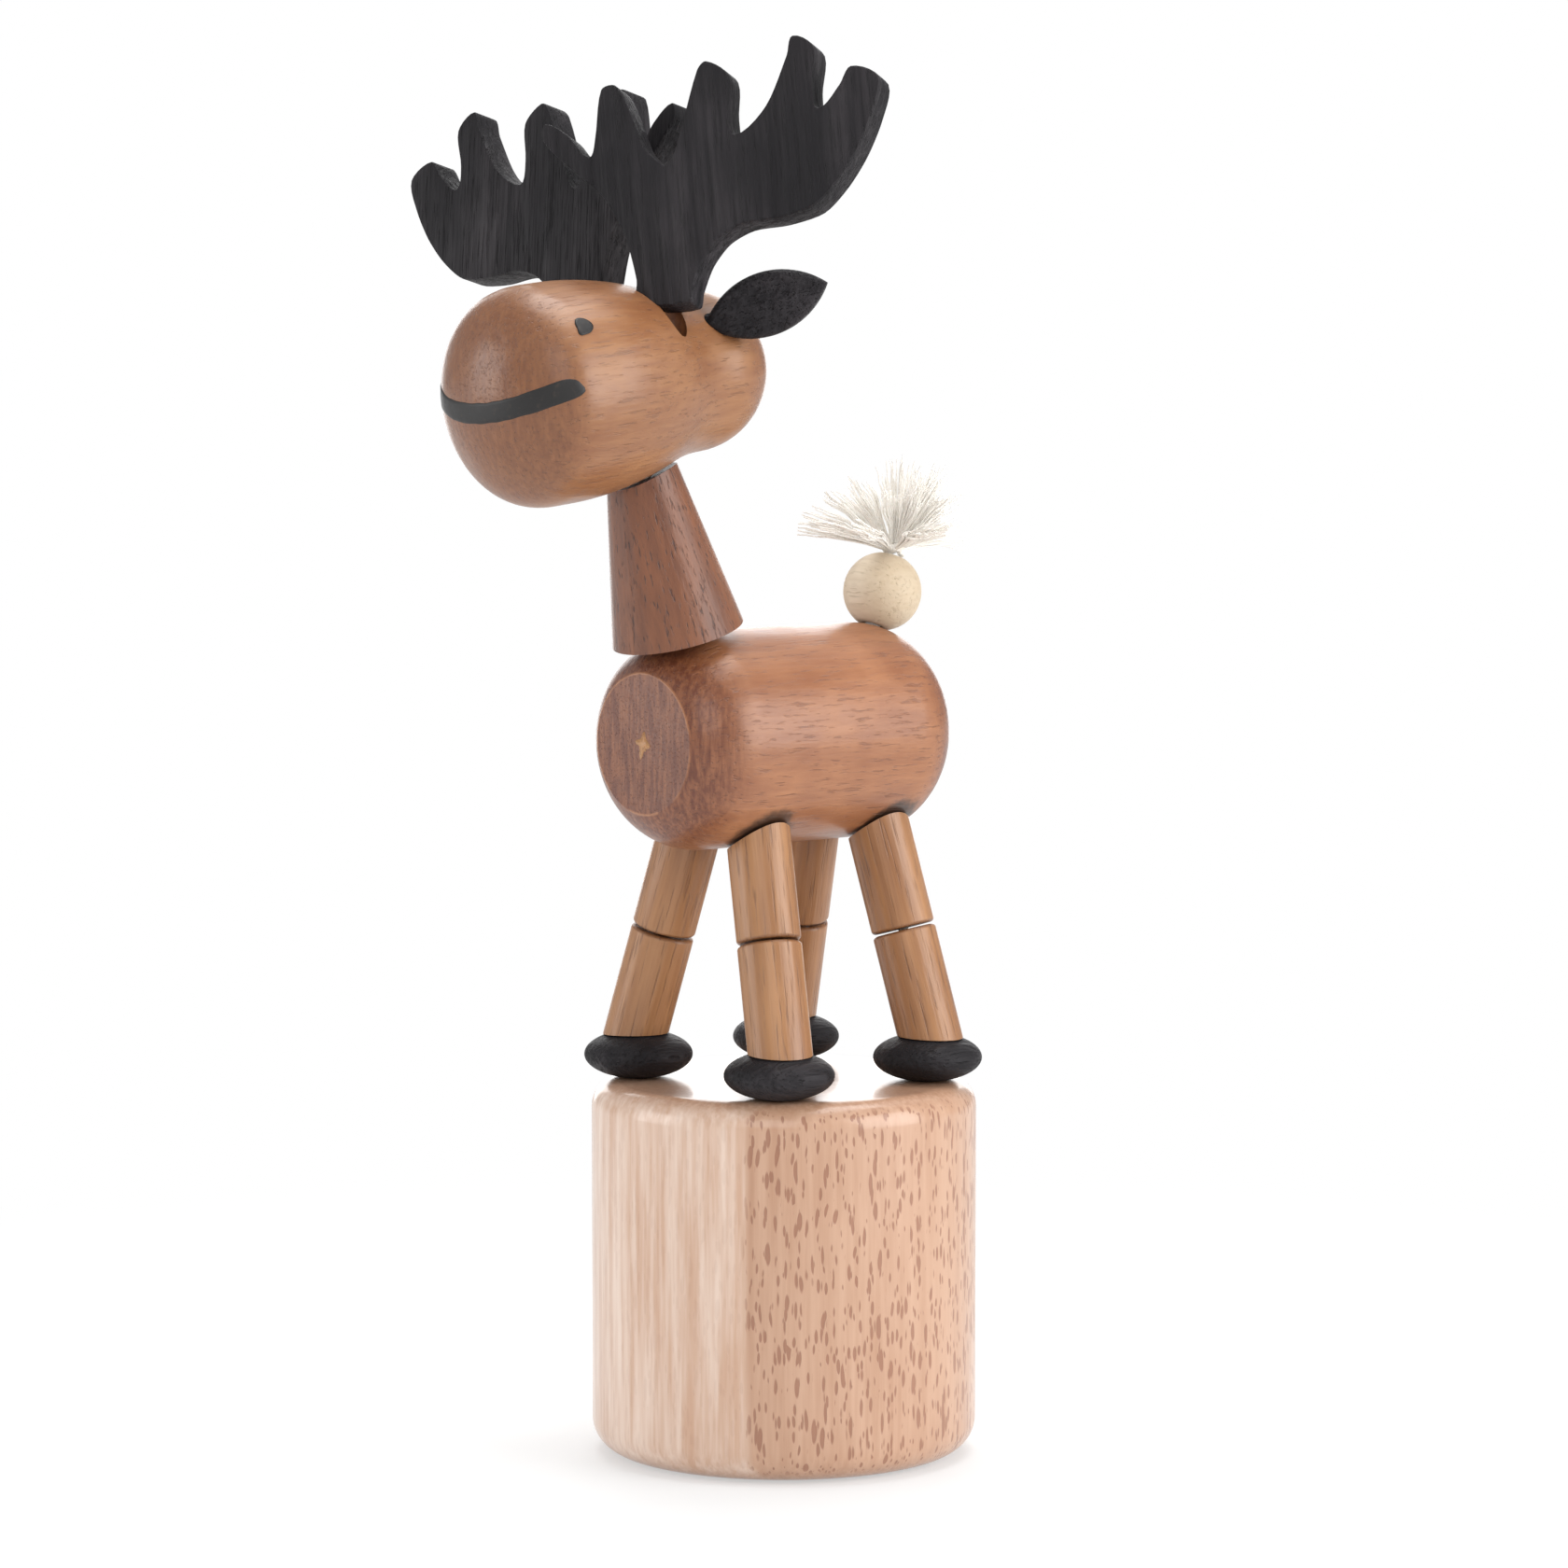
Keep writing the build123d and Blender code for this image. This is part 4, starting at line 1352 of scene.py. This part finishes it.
        graph.link(given.outputs["Finish"], finish.inputs["Material"])
        graph.link(finish.outputs[0], result.inputs[0])
        return tree

    def add_tuft(self, cotton: bpy.types.Material) -> bpy.types.Object:
        """Fray the cords' ends above the knot.

        Args:
            cotton: Finish of the strands.

        Returns:
            The tuft.
        """
        sizes = {"Locks": self.locks, "Strands": self.strands_in_lock, "Length": self.length,
                 "Thickness": self.thickness, "Spread": math.radians(74), "Curl": 1.0 * MM, "Droop": 20.0,
                 "Seed": self.seed, "Finish": cotton}
        made = grown("tail_tuft_strands", self.tuft_tree(), sizes, cotton)
        turn = Matrix.Rotation(-TAIL_TILT * 0.35, 4, "X")
        made.data.transform(Matrix.Translation(TUFT_FOOT - self.way() * 1.9 * MM) @ turn)
        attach(made, "tail")
        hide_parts("tail_tuft")
        return made

    def add_knot(self, cotton: bpy.types.Material) -> bpy.types.Object:
        """Tie the overhand knot that sits on the ball.

        Args:
            cotton: Finish of the cord.

        Returns:
            The knot.
        """
        turns, radius, spread = 96, 0.74 * MM, 0.34 * MM
        centre = self.knot_middle()
        up = self.way()
        side = Vector((1.0, 0.0, 0.0))
        other = up.cross(side)
        path = []
        for step in range(turns):
            angle = 2 * math.pi * step / turns
            reach = radius + spread * math.cos(3 * angle)
            flat = side * math.cos(2 * angle) + other * math.sin(2 * angle)
            path.append(centre + flat * reach + up * (0.55 * MM * math.sin(3 * angle)))
        rings = []
        sides = 14
        for index, point in enumerate(path):
            ahead = (path[(index + 1) % turns] - path[index - 1]).normalized()
            first = (up - ahead * up.dot(ahead)).normalized()
            second = ahead.cross(first)
            ring = []
            for step in range(sides):
                angle = 2 * math.pi * step / sides
                lobe = abs(math.cos(3 * (angle - 0.6 * index) / 2))
                reach = 0.42 * MM * (0.78 + 0.22 * lobe)
                ring.append(point + (first * math.cos(angle) + second * math.sin(angle)) * reach)
            rings.append(ring)
        points = [p for ring in rings for p in ring]
        faces = []
        for row in range(turns):
            after_row = (row + 1) % turns
            for step in range(sides):
                after = (step + 1) % sides
                faces.append([row * sides + step, row * sides + after, after_row * sides + after, after_row * sides + step])
        made = mesh_piece("tail_knot_tied", points, faces, cotton)
        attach(made, "tail")
        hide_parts("tail_knot")
        return made


@dataclass
class Figure:
    """Body, neck, head, tail and legs."""

    body_rim: float = 6.3 * MM
    mark_size: float = 1.2 * MM
    head: Head = field(default_factory=Head)
    tail: Tail = field(default_factory=Tail)

    def dress_body(self) -> None:
        """Finish the body, the neck and the tail's ball."""
        body = StainedWood(
            name="brown_body",
            light=rgb(165, 111, 74),
            dark=rgb(136, 84, 54),
            end=rgb(92, 42, 24),
            pore=rgb(90, 48, 32),
            centre=BODY_CENTRE,
            turn=Axis.FORE_AND_AFT.value,
            seed=(0.4, 0.0, 0.8),
            end_share=0.92,
            pore_share=0.4,
            gloss=0.28,
            worn_rim=self.body_rim,
            draw_out=2.6,
            # Painted shade over the four leg tops, where they meet the belly.
            hip_shade_spots=tuple(Vector((side * 5.6, end, 57.3)) * MM for side in (1, -1) for end in (-7.6, 7.8)),
        )
        dress_node("body_barrel", body.build())
        neck = StainedWood(
            name="brown_neck",
            light=rgb(138, 86, 56),
            dark=rgb(94, 55, 37),
            end=rgb(92, 52, 36),
            pore=rgb(58, 32, 24),
            centre=NECK_SEAT,
            turn=(-NECK_LEAN, 0.0, 0.0),
            seed=(0.1, 0.6, 0.2),
            pore_share=0.85,
            draw_out=0.3,
            gloss=0.12,
        )
        dress_node("neck", neck.build())
        ball = StainedWood(
            name="pale_ball",
            light=rgb(226, 212, 190),
            dark=rgb(202, 184, 158),
            end=rgb(196, 176, 148),
            pore=rgb(176, 156, 128),
            centre=TAIL_SEAT,
            turn=(0.0, math.pi / 2, 0.0),
            pore_share=0.3,
            gloss=0.0,
            roughness=0.6,
        )
        dress_node("tail_bead", ball.build())

    def add_lathe_mark(self, pale: bpy.types.Material) -> bpy.types.Object:
        """Leave the spur centre's ragged little cross in the body's front end.

        Args:
            pale: Finish of the bare wood.

        Returns:
            The mark as a thin patch of torn wood.
        """
        sides = 48
        low, _ = (Vector(corner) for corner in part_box("body_barrel"))
        front = [Vector((0.0, low.y - 0.02 * MM, BODY_CENTRE.z))]
        for step in range(sides):
            angle = 2 * math.pi * step / sides
            arm = 0.55 + 0.45 * abs(math.cos(2 * angle + 0.5)) ** 3
            reach = self.mark_size * arm * (1 + 0.35 * noise(Vector((math.cos(angle) * 2, math.sin(angle) * 2, 0.4))))
            front.append(Vector((math.cos(angle) * reach * 0.8, low.y - 0.02 * MM, BODY_CENTRE.z + math.sin(angle) * reach)))
        back = [p + Vector((0.0, 0.25 * MM, 0.0)) for p in front]
        faces = []
        for step in range(sides):
            a, b = 1 + step, 1 + (step + 1) % sides
            c, d = a + sides + 1, b + sides + 1
            faces += [[0, a, b], [sides + 1, d, c], [a, c, d, b]]
        made = mesh_piece("lathe_mark", front + back, faces, pale)
        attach(made, "body")
        return made

    def add_cords(self, cotton: bpy.types.Material) -> None:
        """String the neck and the tail.

        Args:
            cotton: Finish of the cords.
        """
        pair = Thread(radius=0.7 * MM, strands=2, lay=4.2 * MM)
        up = Vector((0.0, -math.sin(NECK_LEAN), math.cos(NECK_LEAN)))
        back = self.tail.way()
        middle = NECK_SEAT.lerp(NECK_TOP, 0.5)
        spans = [
            ("neck_cord_low", [NECK_SEAT - up * 2.2 * MM, middle], "body", "neck", NECK_SEAT, up, "neck_cord"),
            ("neck_cord_high", [middle, NECK_TOP + up * 9.0 * MM], "neck", "head", NECK_TOP, up, None),
            ("tail_cord_pair", [TAIL_SEAT - back * 2.2 * MM, TAIL_SEAT + back * 6.6 * MM], "body", "tail",
             TAIL_SEAT, back, "tail_cord"),
        ]
        for name, corners, first, second, gap, way, node in spans:
            made = pair.make(name, corners, cotton)
            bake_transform(made)
            if node:
                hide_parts(node)


# Stage


@dataclass(frozen=True)
class Lamp:
    """Square soft light that points at the figure."""

    name: str
    place: tuple[float, float, float]
    size: float
    power: float
    target: tuple[float, float, float] = (0.0, 0.0, 0.065)

    def add(self) -> None:
        """Add the lamp to the scene."""
        light = bpy.data.lights.new(self.name, "AREA")
        light.shape = "SQUARE"
        light.size = self.size
        light.energy = self.power
        made = bpy.data.objects.new(self.name, light)
        made.location = self.place
        aim = Vector(self.target) - Vector(self.place)
        made.rotation_euler = aim.to_track_quat("-Z", "Y").to_euler()
        bpy.context.scene.collection.objects.link(made)


@dataclass(frozen=True)
class Studio:
    """White sweep, soft lights and the camera."""

    eye: tuple[float, float, float] = (0.3764, -0.3389, 0.10633)
    pitch: float = math.radians(5.13)
    right: tuple[float, float, float] = (0.669, 0.743, 0.0)
    lens: float = 128.8
    ambient: float = 0.4

    def add_camera(self) -> None:
        """Add the camera at the photograph's viewing angle."""
        data = bpy.data.cameras.new("camera")
        data.lens = self.lens
        data.sensor_width = 36.0
        data.clip_start = 0.01
        data.clip_end = 20.0
        made = bpy.data.objects.new("camera", data)
        across = Vector(self.right).normalized()
        away = Vector((-across.y, across.x, 0.0))
        look = away * math.cos(self.pitch) - Vector((0, 0, 1)) * math.sin(self.pitch)
        made.location = self.eye
        made.rotation_euler = look.to_track_quat("-Z", "Y").to_euler()
        bpy.context.scene.collection.objects.link(made)
        bpy.context.scene.camera = made

    def seen(self, graph: Graph) -> bpy.types.NodeSocket:
        """Mask of what the camera, a reflection or a refraction sees."""
        path = graph.node("ShaderNodeLightPath")
        mirrored = graph.math("MAXIMUM", path.outputs["Is Glossy Ray"], path.outputs["Is Transmission Ray"])
        return graph.math("MAXIMUM", path.outputs["Is Camera Ray"], mirrored)

    def add_world(self) -> None:
        """White surroundings, dimmer as a light than as a backdrop."""
        world = bpy.data.worlds.new("studio")
        world.use_nodes = True
        graph = Graph(world.node_tree)
        background = world.node_tree.nodes["Background"]
        path = graph.node("ShaderNodeLightPath")
        seen = path.outputs["Is Camera Ray"]
        strength = graph.math("ADD", graph.math("MULTIPLY", seen, 1.0 - self.ambient), self.ambient)
        background.inputs["Color"].default_value = (1.0, 1.0, 1.0, 1.0)
        graph.link(strength, background.inputs["Strength"])
        bpy.context.scene.world = world

    def add_floor(self) -> None:
        """White floor that keeps a soft shadow."""
        bpy.ops.mesh.primitive_plane_add(size=6.0, location=(0, 0, -0.0002))
        floor = bpy.context.object
        floor.name = "floor"
        material = bpy.data.materials.new("white_sweep")
        material.use_nodes = True
        graph = Graph(material.node_tree)
        shader = material.node_tree.nodes["Principled BSDF"]
        shader.inputs["Base Color"].default_value = (0.86, 0.86, 0.86, 1.0)
        shader.inputs["Roughness"].default_value = 0.9
        shader.inputs["Specular IOR Level"].default_value = 0.1
        glow = graph.node("ShaderNodeEmission")
        glow.inputs["Color"].default_value = (1.0, 1.0, 1.0, 1.0)
        mixer = graph.node("ShaderNodeMixShader")
        where = graph.node("ShaderNodeTexCoord")
        far = graph.node("ShaderNodeVectorMath", operation="LENGTH")
        graph.link(where.outputs["Object"], far.inputs[0])
        glow_share = graph.math("ADD", graph.math("MULTIPLY", graph.ramp(far.outputs["Value"], 0.03, 0.16), 0.5), 0.5)
        graph.link(graph.math("MULTIPLY", self.seen(graph), glow_share), mixer.inputs[0])
        graph.link(shader.outputs[0], mixer.inputs[1])
        graph.link(glow.outputs[0], mixer.inputs[2])
        graph.link(mixer.outputs[0], material.node_tree.nodes["Material Output"].inputs["Surface"])
        floor.data.materials.append(material)

    def add_lamps(self) -> None:
        """Large soft lights: behind, to the right, above and a weak one in front."""
        for lamp in (
            Lamp("right_box", (0.55, 0.25, 0.25), 0.5, 3.4),
            Lamp("top_box", (-0.05, 0.1, 0.7), 0.5, 3.6),
            Lamp("left_box", (-0.35, -0.5, 0.2), 0.35, 1.2),
            Lamp("back_box", (-0.5, 0.4, 0.2), 0.5, 2.2),
            Lamp("front_fill", (0.5, -0.6, 0.45), 0.5, 1.6),
        ):
            lamp.add()

    def add(self) -> None:
        """Set the whole stage."""
        self.add_camera()
        self.add_world()
        self.add_floor()
        self.add_lamps()
        bpy.context.scene.view_settings.view_transform = "Standard"


def main() -> None:
    """Build the classes in order and report each piece."""
    logging.basicConfig(level=logging.INFO, format="%(name)s %(message)s")
    Studio().add()
    cotton = Cotton("cotton").build()
    black = BlackWood(name="black_hoof", centre=Vector((0, 0, BASE_TOP)), turn=Axis.FORE_AND_AFT.value).build()
    pale = StainedWood(
        name="pale_peg", light=rgb(220, 200, 170), dark=rgb(190, 165, 130), end=rgb(180, 150, 115),
        pore=rgb(150, 120, 90), centre=Vector((0, 0, 0)), turn=Axis.UPRIGHT.value,
    ).build()
    bare = StainedWood(
        name="bare_mark", light=rgb(214, 172, 120), dark=rgb(178, 130, 84), end=rgb(170, 120, 76),
        pore=rgb(110, 70, 44), centre=BODY_CENTRE, turn=Axis.FORE_AND_AFT.value,
    ).build()
    base = Base()
    base.dress(pale)
    LOG.info("made %s", base.add_spring(SpringWire().build()).name)
    figure = Figure()
    for name, side, end in (("front_left", 1, -1), ("front_right", -1, -1), ("rear_left", 1, 1), ("rear_right", -1, 1)):
        foot, hip = (9.2 * MM, 7.3 * MM) if end < 0 else (8.9 * MM, 7.4 * MM)
        leg = Leg(name, side, end, foot, hip)
        leg.dress(black)
        leg.add_cords(cotton, NECK_SEAT if end < 0 else TAIL_SEAT)
        LOG.info("strung %s", name)
    figure.dress_body()
    LOG.info("made %s", figure.add_lathe_mark(bare).name)
    figure.add_cords(cotton)
    figure.head.dress()
    dress_node("head_peg", pale)
    paint = BlackPaint().build()
    LOG.info("made %s", figure.head.add_mouth(paint).name)
    for name, side in (("eye_left", 1), ("eye_right", -1)):
        LOG.info("made %s", figure.head.add_eye(name, side, paint).name)
    LOG.info("made %s", figure.tail.add_knot(cotton).name)
    LOG.info("made %s", figure.tail.add_tuft(cotton).name)


if __name__ == "__main__":
    main()
